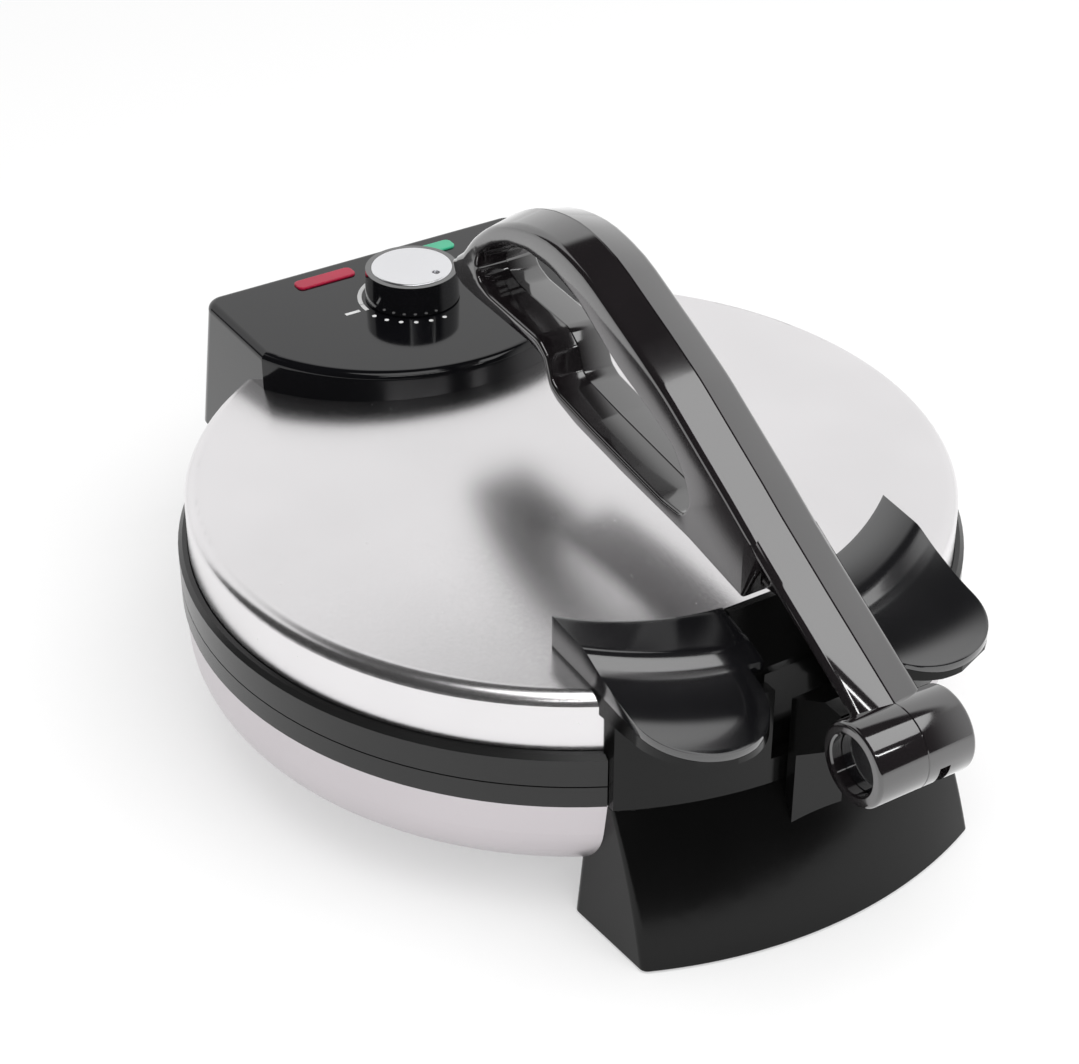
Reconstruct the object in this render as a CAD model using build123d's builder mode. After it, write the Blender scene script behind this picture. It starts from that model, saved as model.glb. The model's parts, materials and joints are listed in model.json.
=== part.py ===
from build123d import *
import os

# Electric roti maker: a round two-plate press with a hinged lid and a long press lever.
# Millimetres. +Z is up, -Y is the front where the lever pivots, and the part stands on z = 0.
# The drum is round about a vertical axis at x = 0, y = DRUM_Y.

# ---- Driving sizes: drum ----
BAND_R = 138.0           # outside radius of the two plastic rings, the widest part of the drum
STEEL = 0.8              # sheet thickness of both shells
SHELL_R = BAND_R - 1.2   # outside radius of the lower steel shell
SHELL_FLOOR = 18.0       # underside of the lower shell
SHELL_CORNER = 20.0      # bend radius between its wall and its floor
LID_R = BAND_R - 3.6     # outside radius of the upper steel shell
BEAD_R = LID_R - 5.4     # where the rim bead meets the dome

# ---- Driving sizes: heights, each one from the one below it ----
FOOT_TOP = 50.0
BAND_BOTTOM = FOOT_TOP + 0.2
PARTING_Z = BAND_BOTTOM + 8.0      # where lid and base meet
BAND_TOP = PARTING_Z + 11.8
RIM_Z = BAND_TOP + 16.8            # where the lid's wall bends into its rim bead
BEAD_TOP = RIM_Z + 3.8
DOME_TOP = BEAD_TOP + 6.4
PANEL_Z = DOME_TOP + 9.0
PARTING_GAP = 0.5

# ---- Driving sizes: plates, heaters and covers ----
RING_BORE_R = BAND_R - 12.0
PLATE_R = RING_BORE_R - 2.0        # cast cooking plates
PLATE_T = 7.6
PLATE_GAP = 1.2                    # between the closed cooking faces
LEDGE_R = PLATE_R - 7.0            # inner edge of the ledge that carries each plate
LEDGE_T = 3.6
HEATER_R = PLATE_R * 0.66
HEATER_TUBE_R = 3.3
HEATER_SWEEP = 322.0
SHIELD_FLANGE_R = PLATE_R - 1.0
SHIELD_R = LEDGE_R - 7.0
SHIELD_DEPTH = 9.0
SHEET = 0.8                        # thin pressed sheet inside
COVER_R = SHELL_R - 30.8
COVER_OPENING_R = COVER_R - 8.0
COVER_T = 1.4

# ---- Driving sizes: screws ----
SCREW_R = 1.5
SCREW_HEAD_R = 2.8
SCREW_HEAD_T = 1.6

# ---- Driving sizes: grips on the lid's front, and the front foot below them ----
GRIP_HALF = 65.0
CHANNEL_HALF = 14.5                # the lever's root lies in this channel between the two grips
APRON_R = BAND_R + 2.4             # front face of the apron below the grips
APRON_IN_R = BAND_R - 2.6
APRON_HALF = GRIP_HALF - 1.0
LIP_INNER_X = 20.5
FOOT_SOLE = 1.0                    # the plastic soles stop just above the table, on rubber pads
FOOT_FRONT_R = BAND_R + 23.3       # bottom edge of the front foot
FOOT_TOP_R = BAND_R + 1.4
FOOT_MID_R = BAND_R + 14.2
FOOT_HALF_BOTTOM = GRIP_HALF + 1.2
FOOT_HALF_TOP = GRIP_HALF - 1.5
FOOT_HALF_REAR = GRIP_HALF + 3.6
FOOT_REAR_Y = 28.5 - BAND_R
WALL = 2.6                         # plastic wall
NECK_HALF = 10.0
NECK_REAR_Y = -BAND_R - 4.4
NECK_FRONT_Y = NECK_REAR_Y - 4.0
PAD_R = 7.0
PAD_T = 3.0

# ---- Driving sizes: control housing, on the lid's rear ----
HOUSING_HALF = 68.5
HOUSING_NOSE_R = HOUSING_HALF + 5.0     # round front of the housing
HOUSING_NOSE_Y = BAND_R - 10.0
HOUSING_REAR_Y = BAND_R + 13.0
HOUSING_EDGE = 3.0
HOUSING_WALL = 2.6
CHEEK_BACK_Y = BAND_R + 25.5
CHEEK_FRONT_Y = BAND_R + 3.0
KNOB_Y = BAND_R - 27.0
KNOB_R = 17.8
KNOB_H = 11.6
KNOB_LIFT = 0.5
CAP_R = 15.2
CAP_T = 1.4
DIMPLE_R = 1.5
SHAFT_R = 3.0
LENS_X = 22.0
LENS_Y = BAND_R + 2.0
LENS_L = 24.5
LENS_W = 6.8
LENS_CORNER = 2.4
LENS_RISE = 0.8
LENS_EDGE = 0.5

# ---- Driving sizes: hinge, rear foot, lever pivot and fits ----
HINGE_Y = BAND_R + 12.0            # from the drum axis
HINGE_Z = PARTING_Z - 1.2
HINGE_PIN_R = 3.0
HINGE_BARREL_R = 8.4
CHEEK_BOTTOM_Z = HINGE_Z - HINGE_BARREL_R
CHEEK_IN = HOUSING_HALF - 11.0
REAR_FOOT_HALF = CHEEK_IN - 3.5
REAR_FOOT_FRONT_Y = BAND_R - 30.0
REAR_FOOT_BACK_Y = BAND_R + 19.5
PIVOT_Y = -BAND_R - 44.1
PIVOT_Z = RIM_Z + 1.15
PIVOT_PIN_R = 3.0
BUSH_R = 4.5
BARREL_R = 13.9
BARREL_HALF = 18.2
RECESS_R = 9.8           # recessed ends of the barrel
RECESS_T = 5.0
FREE = 0.3               # gap between faces that pass each other
RUN = 0.05               # radial clearance of a pin in its bore
SEAT = 0.1               # gap between fixed mating covers

# ---- Driving sizes: lever ----
ARM_HALF = 12.5
SLOT_IN = 4.4            # slot in the pivot barrel, on the right of the lever's seam
SLOT_OUT = 8.4
EYE_R = 8.6
TONGUE_GAP = 0.3
TONGUE_UP = 2.0          # the tongue's edges above and below the pin where it meets the eye
TONGUE_DOWN = 0.4

# ---- Worked-out places ----
FRONT_REACH = BARREL_R - PIVOT_Y
DRUM_Y = (FRONT_REACH - CHEEK_BACK_Y) / 2
DRUM_AXIS = Axis((0, DRUM_Y, 0), (0, 0, 1))
PLATE_LOW_TOP = PARTING_Z - PLATE_GAP / 2
PLATE_UP_BOTTOM = PARTING_Z + PLATE_GAP / 2
PLATE_LOW_BOTTOM = PLATE_LOW_TOP - PLATE_T
PLATE_UP_TOP = PLATE_UP_BOTTOM + PLATE_T
BIG = 3 * BAND_R

section = Plane(origin=(0, DRUM_Y, 0), x_dir=(1, 0, 0), z_dir=(0, -1, 0))


def level(z, y=0.0):
    """Horizontal plane at height z, centred y behind the drum axis."""
    return Plane(origin=(0, DRUM_Y + y, z), x_dir=(1, 0, 0), z_dir=(0, 0, 1))


def side(x=0.0):
    """Upright plane at x; its first axis is y from the drum axis, its second is z."""
    return Plane(origin=(x, DRUM_Y, 0), x_dir=(0, 1, 0), z_dir=(1, 0, 0))


def round_body(points):
    """A face on the section plane, from (radius, z) points, revolved about the drum axis."""
    with BuildPart() as body:
        with BuildSketch(section):
            with BuildLine():
                Polyline(*points, close=True)
            make_face()
        revolve(axis=DRUM_AXIS)
    return body.part


def slab(points, half, x=0.0):
    """A (y, z) outline extruded to both sides of the plane at x."""
    with BuildPart() as body:
        with BuildSketch(side(x)):
            with BuildLine():
                Polyline(*points, close=True)
            make_face()
        extrude(amount=half, both=True)
    return body.part


def save(node, name):
    node.part.label = name
    export_step(node.part, "parts/" + name + ".step")


os.makedirs("parts", exist_ok=True)

# ======== Base ========

# Space taken by the lower shell, kept free in everything that stands around it.
with BuildPart() as shell_space:
    with BuildSketch(level(SHELL_FLOOR)):
        Circle(SHELL_R)
    extrude(amount=BAND_BOTTOM - SHELL_FLOOR)
    fillet(shell_space.faces().sort_by(Axis.Z)[0].edges(), SHELL_CORNER)
    with BuildSketch(level(BAND_BOTTOM)):
        Circle(BAND_R)
    extrude(amount=BAND_TOP - BAND_BOTTOM)

# The same space grown by one plastic wall.
with BuildPart() as shell_space_wall:
    with BuildSketch(level(SHELL_FLOOR - WALL)):
        Circle(SHELL_R + WALL)
    extrude(amount=BAND_TOP - SHELL_FLOOR + WALL)
    fillet(shell_space_wall.faces().sort_by(Axis.Z)[0].edges(), SHELL_CORNER + WALL)

# Lower shell: a pressed steel pan, open on top, with a round opening in its floor.
with BuildPart() as lower_shell:
    with BuildSketch(level(SHELL_FLOOR)):
        Circle(SHELL_R)
    extrude(amount=BAND_BOTTOM - SHELL_FLOOR)
    fillet(lower_shell.faces().sort_by(Axis.Z)[0].edges(), SHELL_CORNER)
    offset(amount=-STEEL, openings=lower_shell.faces().sort_by(Axis.Z)[-1])
    with BuildSketch(level(SHELL_FLOOR)):
        Circle(COVER_OPENING_R)
    extrude(amount=STEEL, mode=Mode.SUBTRACT)
save(lower_shell, "lower_shell")

# Bottom cover: a flat plate under the opening, with rows of vent slots.
VENT_R = COVER_R - 36.0
VENT_L = 18.0
VENT_W = 3.0
VENT_COUNT = 16
COVER_SCREWS = 4
COVER_SCREW_R = (COVER_R + COVER_OPENING_R) / 2
SCREW_TURN = 45.0        # the first screw of a ring stands at this angle
with BuildPart() as bottom_cover:
    with BuildSketch(level(SHELL_FLOOR - COVER_T)):
        Circle(COVER_R)
        with PolarLocations(VENT_R, VENT_COUNT):
            SlotOverall(VENT_L, VENT_W, mode=Mode.SUBTRACT)
        with PolarLocations(COVER_SCREW_R, COVER_SCREWS, start_angle=SCREW_TURN):
            Circle(SCREW_R, mode=Mode.SUBTRACT)
    extrude(amount=COVER_T)
save(bottom_cover, "bottom_cover")

# Apron notch: both rings step back where the grips' apron hangs in front of them.
with BuildPart() as apron_space:
    with BuildSketch(level(FOOT_TOP)):
        with Locations((0, -BIG / 4)):
            Rectangle(2 * APRON_HALF + 2 * FREE, BIG / 2)
        Circle(APRON_IN_R - FREE, mode=Mode.SUBTRACT)
    extrude(amount=BAND_TOP - FOOT_TOP)

# Screws that hold each plate and its heat shield on the ring's ledge.
PLATE_SCREWS = 4
PLATE_SCREW_R = LEDGE_R + 3.0
PLATE_SCREW_DEPTH = 4.0


def screw_ring(z, radius):
    """Circles on a ring of screws at height z, for their shanks or heads."""
    with BuildSketch(level(z)) as ring:
        with PolarLocations(PLATE_SCREW_R, PLATE_SCREWS, start_angle=SCREW_TURN):
            Circle(radius)
    return ring.sketch


# Lower ring: outer band, a ledge under the plate and a skirt inside the shell.
SKIRT_DEPTH = 8.0
SKIRT_T = 3.0
skirt_out = SHELL_R - STEEL - SEAT
ledge_low = PLATE_LOW_BOTTOM - LEDGE_T
with BuildPart() as lower_ring:
    add(round_body([
        (BAND_R, BAND_BOTTOM), (BAND_R, PARTING_Z - PARTING_GAP / 2),
        (RING_BORE_R, PARTING_Z - PARTING_GAP / 2), (RING_BORE_R, PLATE_LOW_BOTTOM),
        (LEDGE_R, PLATE_LOW_BOTTOM), (LEDGE_R, ledge_low),
        (skirt_out - SKIRT_T, ledge_low), (skirt_out - SKIRT_T, BAND_BOTTOM - SKIRT_DEPTH),
        (skirt_out, BAND_BOTTOM - SKIRT_DEPTH), (skirt_out, BAND_BOTTOM),
    ]))
    add(apron_space.part, mode=Mode.SUBTRACT)
    add(screw_ring(ledge_low, SCREW_R + RUN))
    extrude(amount=LEDGE_T, mode=Mode.SUBTRACT)
save(lower_ring, "lower_ring")

# Cooking plates: cast discs with a round-bottomed groove for the heater in the back.
groove_r = HEATER_TUBE_R + RUN


def cooking_plate(bottom, heater_z, screw_z):
    with BuildPart() as plate:
        with BuildSketch(level(bottom)):
            Circle(PLATE_R)
        extrude(amount=PLATE_T)
        add(screw_ring(screw_z, SCREW_R + RUN))
        extrude(amount=PLATE_SCREW_DEPTH, mode=Mode.SUBTRACT)
        with BuildSketch(section):
            with Locations((HEATER_R, heater_z)):
                Circle(groove_r)
        revolve(axis=DRUM_AXIS, mode=Mode.SUBTRACT)
    return plate


HEATER_SINK = 2.0        # how far the heater's centre line lies inside the plate's back
lower_heater_z = PLATE_LOW_BOTTOM + HEATER_SINK - HEATER_TUBE_R
upper_heater_z = PLATE_UP_TOP - HEATER_SINK + HEATER_TUBE_R
lower_plate = cooking_plate(PLATE_LOW_BOTTOM, lower_heater_z, PLATE_LOW_BOTTOM)
save(lower_plate, "lower_plate")

# Heaters: a sheathed ring with two straight cold ends that leave the plate's back.
COLD_END = 13.0


def ring_heater(z, away):
    """Heater ring at height z; its cold ends go down (away = -1) or up (away = 1)."""
    with BuildPart() as heater:
        with BuildSketch(section):
            with Locations((HEATER_R, z)):
                Circle(HEATER_TUBE_R)
        revolve(axis=DRUM_AXIS, revolution_arc=HEATER_SWEEP)
        with BuildSketch(level(z)):
            with PolarLocations(HEATER_R, 1):
                Circle(HEATER_TUBE_R)
            with PolarLocations(HEATER_R, 1, start_angle=HEATER_SWEEP):
                Circle(HEATER_TUBE_R)
        extrude(amount=away * COLD_END)
    return heater


lower_heater = ring_heater(lower_heater_z, -1)
save(lower_heater, "lower_heater")

# Heat shields: pressed dishes whose flange lies on the plate ledge's far side.
END_HOLE_R = HEATER_TUBE_R + 1.5


def heat_shield(flange_z, away):
    """Dish with its flange at flange_z, sinking away from the plate (away = -1 down, 1 up)."""
    deep = flange_z + away * SHIELD_DEPTH
    with BuildPart() as shield:
        add(round_body([
            (SHIELD_FLANGE_R, flange_z), (SHIELD_FLANGE_R, flange_z + away * SHEET),
            (SHIELD_R + SHEET, flange_z + away * SHEET), (SHIELD_R + SHEET, deep + away * SHEET),
            (0, deep + away * SHEET), (0, deep), (SHIELD_R, deep), (SHIELD_R, flange_z),
        ]))
        with BuildSketch(level(deep - SHEET)):
            with PolarLocations(HEATER_R, 1):
                Circle(END_HOLE_R)
            with PolarLocations(HEATER_R, 1, start_angle=HEATER_SWEEP):
                Circle(END_HOLE_R)
        extrude(amount=2 * SHEET, mode=Mode.SUBTRACT)
        add(screw_ring(flange_z - SHEET, SCREW_R + RUN))
        extrude(amount=2 * SHEET, mode=Mode.SUBTRACT)
    return shield


def plate_screws(flange_z, away):
    """Screws through the shield's flange and the ledge into the plate's back."""
    head_z = flange_z + away * SHEET
    with BuildPart() as screws:
        add(screw_ring(head_z, SCREW_HEAD_R))
        extrude(amount=away * SCREW_HEAD_T)
        add(screw_ring(head_z, SCREW_R))
        extrude(amount=-away * (SHEET + LEDGE_T + PLATE_SCREW_DEPTH - FREE))
    return screws


lower_heat_shield = heat_shield(ledge_low, -1)
save(lower_heat_shield, "lower_heat_shield")
lower_plate_screws = plate_screws(ledge_low, -1)
save(lower_plate_screws, "lower_plate_screws")

# Front foot: a flared hollow block under and in front of the shell, with a neck for the lever.
NECK_TOP_REAR_Z = RIM_Z - 2.8
NECK_TOP_Z = PIVOT_Z + 4.55
NECK_WAIST_Z = FOOT_TOP + 14.0
neck_top_y = PIVOT_Y + 16.0
saddle_r = BARREL_R + 2 * FREE
hollow_top = FOOT_TOP - 4.0
FOOT_CORNER = 3.0


def foot_outline(z, half_rear, half_front, front_r, inset=0.0):
    """Plan of the front foot at height z: flat sides and a front round about the drum axis."""
    front_y = -((front_r - inset) ** 2 - (half_front - inset) ** 2) ** 0.5
    rear_y = FOOT_REAR_Y - inset
    with BuildSketch(level(z)) as plan:
        with BuildLine():
            Polyline((half_front - inset, front_y), (half_rear - inset, rear_y),
                     (-half_rear + inset, rear_y), (-half_front + inset, front_y))
            ThreePointArc((half_front - inset, front_y), (0, inset - front_r),
                          (-half_front + inset, front_y))
        make_face()
        if inset == 0:
            fillet(plan.vertices(), FOOT_CORNER)
    return plan.sketch


foot_mid_z = (FOOT_TOP + FOOT_SOLE) / 2
foot_mid_half = (FOOT_HALF_TOP + FOOT_HALF_BOTTOM) / 2
foot_mid_rear = (FOOT_HALF_REAR + FOOT_HALF_TOP) / 2
with BuildPart() as foot_hollow:
    add(foot_outline(FOOT_SOLE, FOOT_HALF_REAR, FOOT_HALF_BOTTOM, FOOT_FRONT_R, WALL))
    add(foot_outline(foot_mid_z, foot_mid_rear, foot_mid_half, FOOT_MID_R, WALL))
    add(foot_outline(hollow_top, FOOT_HALF_TOP, FOOT_HALF_TOP, FOOT_TOP_R + SEAT, WALL))
    loft()
    add(shell_space_wall.part, mode=Mode.SUBTRACT)

FRONT_PAD_X = APRON_HALF - 20.0
FRONT_PAD_Y = 10.0 - BAND_R
PAD_POST_TOP = SHELL_FLOOR + 12.0
REAR_PAD_X = REAR_FOOT_HALF - 12.0
REAR_PAD_Y = BAND_R - 4.0
PAD_SEAT_R = PAD_R + WALL    # the pads sit in posts that rise inside the feet
FOOT_EDGE = 1.2
with BuildPart() as front_foot:
    add(foot_outline(FOOT_SOLE, FOOT_HALF_REAR, FOOT_HALF_BOTTOM, FOOT_FRONT_R))
    add(foot_outline(foot_mid_z, foot_mid_rear, foot_mid_half, FOOT_MID_R))
    add(foot_outline(FOOT_TOP, FOOT_HALF_TOP, FOOT_HALF_TOP, FOOT_TOP_R))
    loft()
    fillet(front_foot.faces().sort_by(Axis.Z)[-1].edges(), FOOT_EDGE)
    add(foot_hollow.part, mode=Mode.SUBTRACT)
    # pad seats: posts from the shell down to the sole
    with BuildSketch(level(FOOT_SOLE)):
        with Locations((-FRONT_PAD_X, FRONT_PAD_Y), (FRONT_PAD_X, FRONT_PAD_Y)):
            Circle(PAD_SEAT_R)
    extrude(amount=PAD_POST_TOP - FOOT_SOLE)
    # neck behind the barrel, with a saddle that clears the barrel
    with BuildSketch(side()):
        with BuildLine():
            Polyline((NECK_REAR_Y, hollow_top), (NECK_REAR_Y, NECK_TOP_REAR_Z),
                     (neck_top_y + 8, NECK_TOP_Z), (neck_top_y, NECK_TOP_Z),
                     (neck_top_y, PIVOT_Z - EYE_R), (NECK_FRONT_Y, NECK_WAIST_Z),
                     (NECK_FRONT_Y, hollow_top), close=True)
        make_face()
        with Locations((PIVOT_Y, PIVOT_Z)):
            Circle(saddle_r, mode=Mode.SUBTRACT)
    extrude(amount=NECK_HALF, both=True)
    with BuildSketch(level(FOOT_SOLE + 1)):
        with Locations((0, (NECK_FRONT_Y + NECK_REAR_Y) / 2)):
            Rectangle(2 * NECK_HALF, NECK_REAR_Y - NECK_FRONT_Y)
    extrude(amount=hollow_top - FOOT_SOLE)
    # tongue: a plate with an eye, which enters the barrel through its slot
    tongue_mid = (SLOT_IN + SLOT_OUT) / 2
    with BuildSketch(side(tongue_mid)):
        with BuildLine():
            Polyline((neck_top_y + 6, NECK_TOP_Z), (PIVOT_Y, PIVOT_Z + TONGUE_UP),
                     (PIVOT_Y, PIVOT_Z - TONGUE_DOWN), (neck_top_y + 6, PIVOT_Z - TONGUE_DOWN), close=True)
        make_face()
        with Locations((PIVOT_Y, PIVOT_Z)):
            Circle(EYE_R)
            Circle(PIVOT_PIN_R, mode=Mode.SUBTRACT)
    extrude(amount=(SLOT_OUT - SLOT_IN) / 2 - TONGUE_GAP, both=True)
    add(shell_space.part, mode=Mode.SUBTRACT)
    # pad recesses
    with BuildSketch(level(FOOT_SOLE)):
        with Locations((-FRONT_PAD_X, FRONT_PAD_Y), (FRONT_PAD_X, FRONT_PAD_Y)):
            Circle(PAD_R)
    extrude(amount=PAD_T - FOOT_SOLE, mode=Mode.SUBTRACT)
save(front_foot, "front_foot")

# Rear foot: a narrower hollow block that stands behind the shell and carries the hinge barrel.
GLAND_Z = SHELL_FLOOR + 4.0
GLAND_R = 6.0
GLAND_BORE_R = 3.6
GLAND_FLANGE_R = 8.0
GLAND_FLANGE_T = 2.0
gland_plane = Plane(origin=(0, DRUM_Y + REAR_FOOT_BACK_Y - WALL, GLAND_Z),
                    x_dir=(1, 0, 0), z_dir=(0, 1, 0))
REAR_CORNER = 5.0
rear_outline = [
    (REAR_FOOT_FRONT_Y, FOOT_SOLE), (REAR_FOOT_BACK_Y, FOOT_SOLE),
    (REAR_FOOT_BACK_Y, HINGE_Z), (REAR_FOOT_FRONT_Y, HINGE_Z),
]
rear_hollow_outline = [
    (REAR_FOOT_FRONT_Y + WALL, FOOT_SOLE), (REAR_FOOT_BACK_Y - WALL, FOOT_SOLE),
    (REAR_FOOT_BACK_Y - WALL, HINGE_Z - HINGE_BARREL_R - WALL),
    (REAR_FOOT_FRONT_Y + WALL, HINGE_Z - HINGE_BARREL_R - WALL),
]
with BuildPart() as rear_hollow:
    add(slab(rear_hollow_outline, REAR_FOOT_HALF - WALL))
    add(shell_space_wall.part, mode=Mode.SUBTRACT)

with BuildPart() as rear_foot:
    add(slab(rear_outline, REAR_FOOT_HALF))
    fillet(rear_foot.edges().filter_by(Axis.Z).group_by(Axis.Y)[-1], REAR_CORNER)
    add(rear_hollow.part, mode=Mode.SUBTRACT)
    with BuildSketch(level(FOOT_SOLE)):
        with Locations((-REAR_PAD_X, REAR_PAD_Y), (REAR_PAD_X, REAR_PAD_Y)):
            Circle(PAD_SEAT_R)
    extrude(amount=HINGE_Z - HINGE_BARREL_R - FOOT_SOLE)
    with BuildSketch(side()):
        with Locations((HINGE_Y, HINGE_Z)):
            Circle(HINGE_BARREL_R)
    extrude(amount=CHEEK_IN - FREE, both=True)
    with BuildSketch(side()):
        with Locations((HINGE_Y, HINGE_Z)):
            Circle(HINGE_PIN_R)
    extrude(amount=CHEEK_IN, both=True, mode=Mode.SUBTRACT)
    # keeps the ring and the shell free
    add(shell_space.part, mode=Mode.SUBTRACT)
    with BuildSketch(level(FOOT_SOLE)):
        with Locations((-REAR_PAD_X, REAR_PAD_Y), (REAR_PAD_X, REAR_PAD_Y)):
            Circle(PAD_R)
    extrude(amount=PAD_T - FOOT_SOLE, mode=Mode.SUBTRACT)
    with BuildSketch(gland_plane):
        Circle(GLAND_R)
    extrude(amount=WALL, mode=Mode.SUBTRACT)
save(rear_foot, "rear_foot")

# Cord gland: a rubber grommet in the rear foot's back wall.
with BuildPart() as cord_gland:
    with BuildSketch(gland_plane):
        Circle(GLAND_R)
    extrude(amount=WALL)
    with BuildSketch(gland_plane.offset(WALL)):
        Circle(GLAND_FLANGE_R)
    extrude(amount=GLAND_FLANGE_T)
    with BuildSketch(gland_plane):
        Circle(GLAND_BORE_R)
    extrude(amount=WALL + GLAND_FLANGE_T, mode=Mode.SUBTRACT)
save(cord_gland, "cord_gland")

# Rubber pads under both feet.
with BuildPart() as rubber_feet:
    with BuildSketch(level(0)):
        with Locations((-FRONT_PAD_X, FRONT_PAD_Y), (FRONT_PAD_X, FRONT_PAD_Y),
                       (-REAR_PAD_X, REAR_PAD_Y), (REAR_PAD_X, REAR_PAD_Y)):
            Circle(PAD_R)
    extrude(amount=PAD_T)
save(rubber_feet, "rubber_feet")

# Screws of the bottom cover.
with BuildPart() as base_screws:
    with BuildSketch(level(SHELL_FLOOR - COVER_T - SCREW_HEAD_T)):
        with PolarLocations(COVER_SCREW_R, COVER_SCREWS, start_angle=SCREW_TURN):
            Circle(SCREW_HEAD_R)
    extrude(amount=SCREW_HEAD_T)
    with BuildSketch(level(SHELL_FLOOR - COVER_T)):
        with PolarLocations(COVER_SCREW_R, COVER_SCREWS, start_angle=SCREW_TURN):
            Circle(SCREW_R)
    extrude(amount=COVER_T)
save(base_screws, "base_screws")

# Hinge pin through the rear foot's barrel, with its ends in the housing's cheeks.
PIN_END = 4.5
with BuildPart() as hinge_pin:
    with BuildSketch(side()):
        with Locations((HINGE_Y, HINGE_Z)):
            Circle(HINGE_PIN_R)
    extrude(amount=CHEEK_IN + PIN_END, both=True)
save(hinge_pin, "hinge_pin")

# Lever pin in the tongue's eye, held in the base.
BARREL_END_WALL = 1.6
BUSH_END = BARREL_HALF - RECESS_T - BARREL_END_WALL
LEVER_PIN_HALF = BUSH_END - 0.2
with BuildPart() as lever_pin:
    with BuildSketch(side()):
        with Locations((PIVOT_Y, PIVOT_Z)):
            Circle(PIVOT_PIN_R)
    extrude(amount=LEVER_PIN_HALF, both=True)
save(lever_pin, "lever_pin")

# Terminal block and its bracket foot on the lower heat shield's underside.
BLOCK_L = 34.0
BLOCK_W = 14.0
BLOCK_H = 9.0
BLOCK_Y = BAND_R - 78.0
TERMINAL_R = 2.1
shield_under = ledge_low - SHIELD_DEPTH - SHEET
with BuildPart() as terminal_block:
    with BuildSketch(level(shield_under - BLOCK_H, BLOCK_Y)):
        Rectangle(BLOCK_L, BLOCK_W)
        with GridLocations(BLOCK_L / 3, 1, 3, 1):
            Circle(TERMINAL_R, mode=Mode.SUBTRACT)
    extrude(amount=BLOCK_H)
save(terminal_block, "terminal_block")

# ======== Lid ========


# The dome is part of a ball whose centre lies on the drum axis.
BEAD_ARC = 1.5           # how far the rim bead's middle lies from both of its tangents
dome_rise = DOME_TOP - BEAD_TOP
dome_r = (BEAD_R ** 2 + dome_rise ** 2) / (2 * dome_rise)


def dome_z(radius, inset):
    """Height of the dome at a radius, shrunk by inset."""
    return DOME_TOP - dome_r + ((dome_r - inset) ** 2 - radius ** 2) ** 0.5


def lid_arcs(inset):
    """The lid's outline from its wall over the rim bead to the middle, shrunk by inset."""
    wall = LID_R - inset
    edge_z = dome_z(BEAD_R, inset)
    ThreePointArc((wall, RIM_Z), (wall - BEAD_ARC, edge_z - BEAD_ARC + inset / 2), (BEAD_R, edge_z))
    ThreePointArc((BEAD_R, edge_z), (BEAD_R / 2, dome_z(BEAD_R / 2, inset)), (0, DOME_TOP - inset))


# Upper ring: band, ledge over the plate, groove and skirt for the steel shell.
RING_GROOVE_Z = BAND_TOP - 5.0
RING_EDGE = 1.5
GROOVE_SLACK = 0.4
UPPER_SKIRT_TOP = BAND_TOP + 6.0
ledge_high = PLATE_UP_TOP + LEDGE_T
groove_in = LID_R - STEEL - GROOVE_SLACK
# Channel under the lever's root, as a (y, z) line from the dome out to the apron.
CHANNEL_REAR_Y = 24.4 - LID_R
CHANNEL_REAR_Z = RIM_Z + 5.6
CHANNEL_MID_Y = 10.4 - LID_R
CHANNEL_MID_Z = RIM_Z - 6.8
CHANNEL_FRONT_Y = -APRON_IN_R
CHANNEL_FRONT_Z = BAND_TOP + 0.4
CHANNEL_END_Z = BAND_TOP - 10.0
CHANNEL_T = 2.4
CHANNEL_TILT = 0.6       # the floor thins by this much towards the front
CHANNEL_HIGH_Z = BEAD_TOP + 30.0
channel_back_y = CHANNEL_REAR_Y + 3.0
with BuildPart() as channel_cut:
    add(slab([
        (CHANNEL_REAR_Y, CHANNEL_REAR_Z - CHANNEL_T), (CHANNEL_MID_Y, CHANNEL_MID_Z - CHANNEL_T),
        (CHANNEL_FRONT_Y, CHANNEL_FRONT_Z - CHANNEL_T + CHANNEL_TILT), (-BIG / 2, CHANNEL_FRONT_Z),
        (-BIG / 2, CHANNEL_HIGH_Z), (CHANNEL_REAR_Y, CHANNEL_HIGH_Z),
    ], CHANNEL_HALF + WALL + SEAT))

with BuildPart() as upper_ring:
    add(round_body([
        (BAND_R, PARTING_Z + PARTING_GAP / 2), (BAND_R, BAND_TOP - RING_EDGE),
        (BAND_R - RING_EDGE, BAND_TOP),
        (LID_R + GROOVE_SLACK, BAND_TOP), (LID_R + GROOVE_SLACK, RING_GROOVE_Z),
        (groove_in, RING_GROOVE_Z), (groove_in, UPPER_SKIRT_TOP),
        (groove_in - SKIRT_T, UPPER_SKIRT_TOP), (groove_in - SKIRT_T, ledge_high),
        (LEDGE_R, ledge_high), (LEDGE_R, PLATE_UP_TOP), (RING_BORE_R, PLATE_UP_TOP),
        (RING_BORE_R, PARTING_Z + PARTING_GAP / 2),
    ]))
    add(apron_space.part, mode=Mode.SUBTRACT)
    add(channel_cut.part, mode=Mode.SUBTRACT)
    add(screw_ring(PLATE_UP_TOP, SCREW_R + RUN))
    extrude(amount=LEDGE_T, mode=Mode.SUBTRACT)
save(upper_ring, "upper_ring")

# Space inside the lid's outside form, kept free in everything that stands on it.
with BuildPart() as lid_outside:
    with BuildSketch(section):
        with BuildLine():
            Polyline((0, DOME_TOP), (0, RING_GROOVE_Z), (LID_R, RING_GROOVE_Z), (LID_R, RIM_Z))
            lid_arcs(0)
        make_face()
    revolve(axis=DRUM_AXIS)

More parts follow.
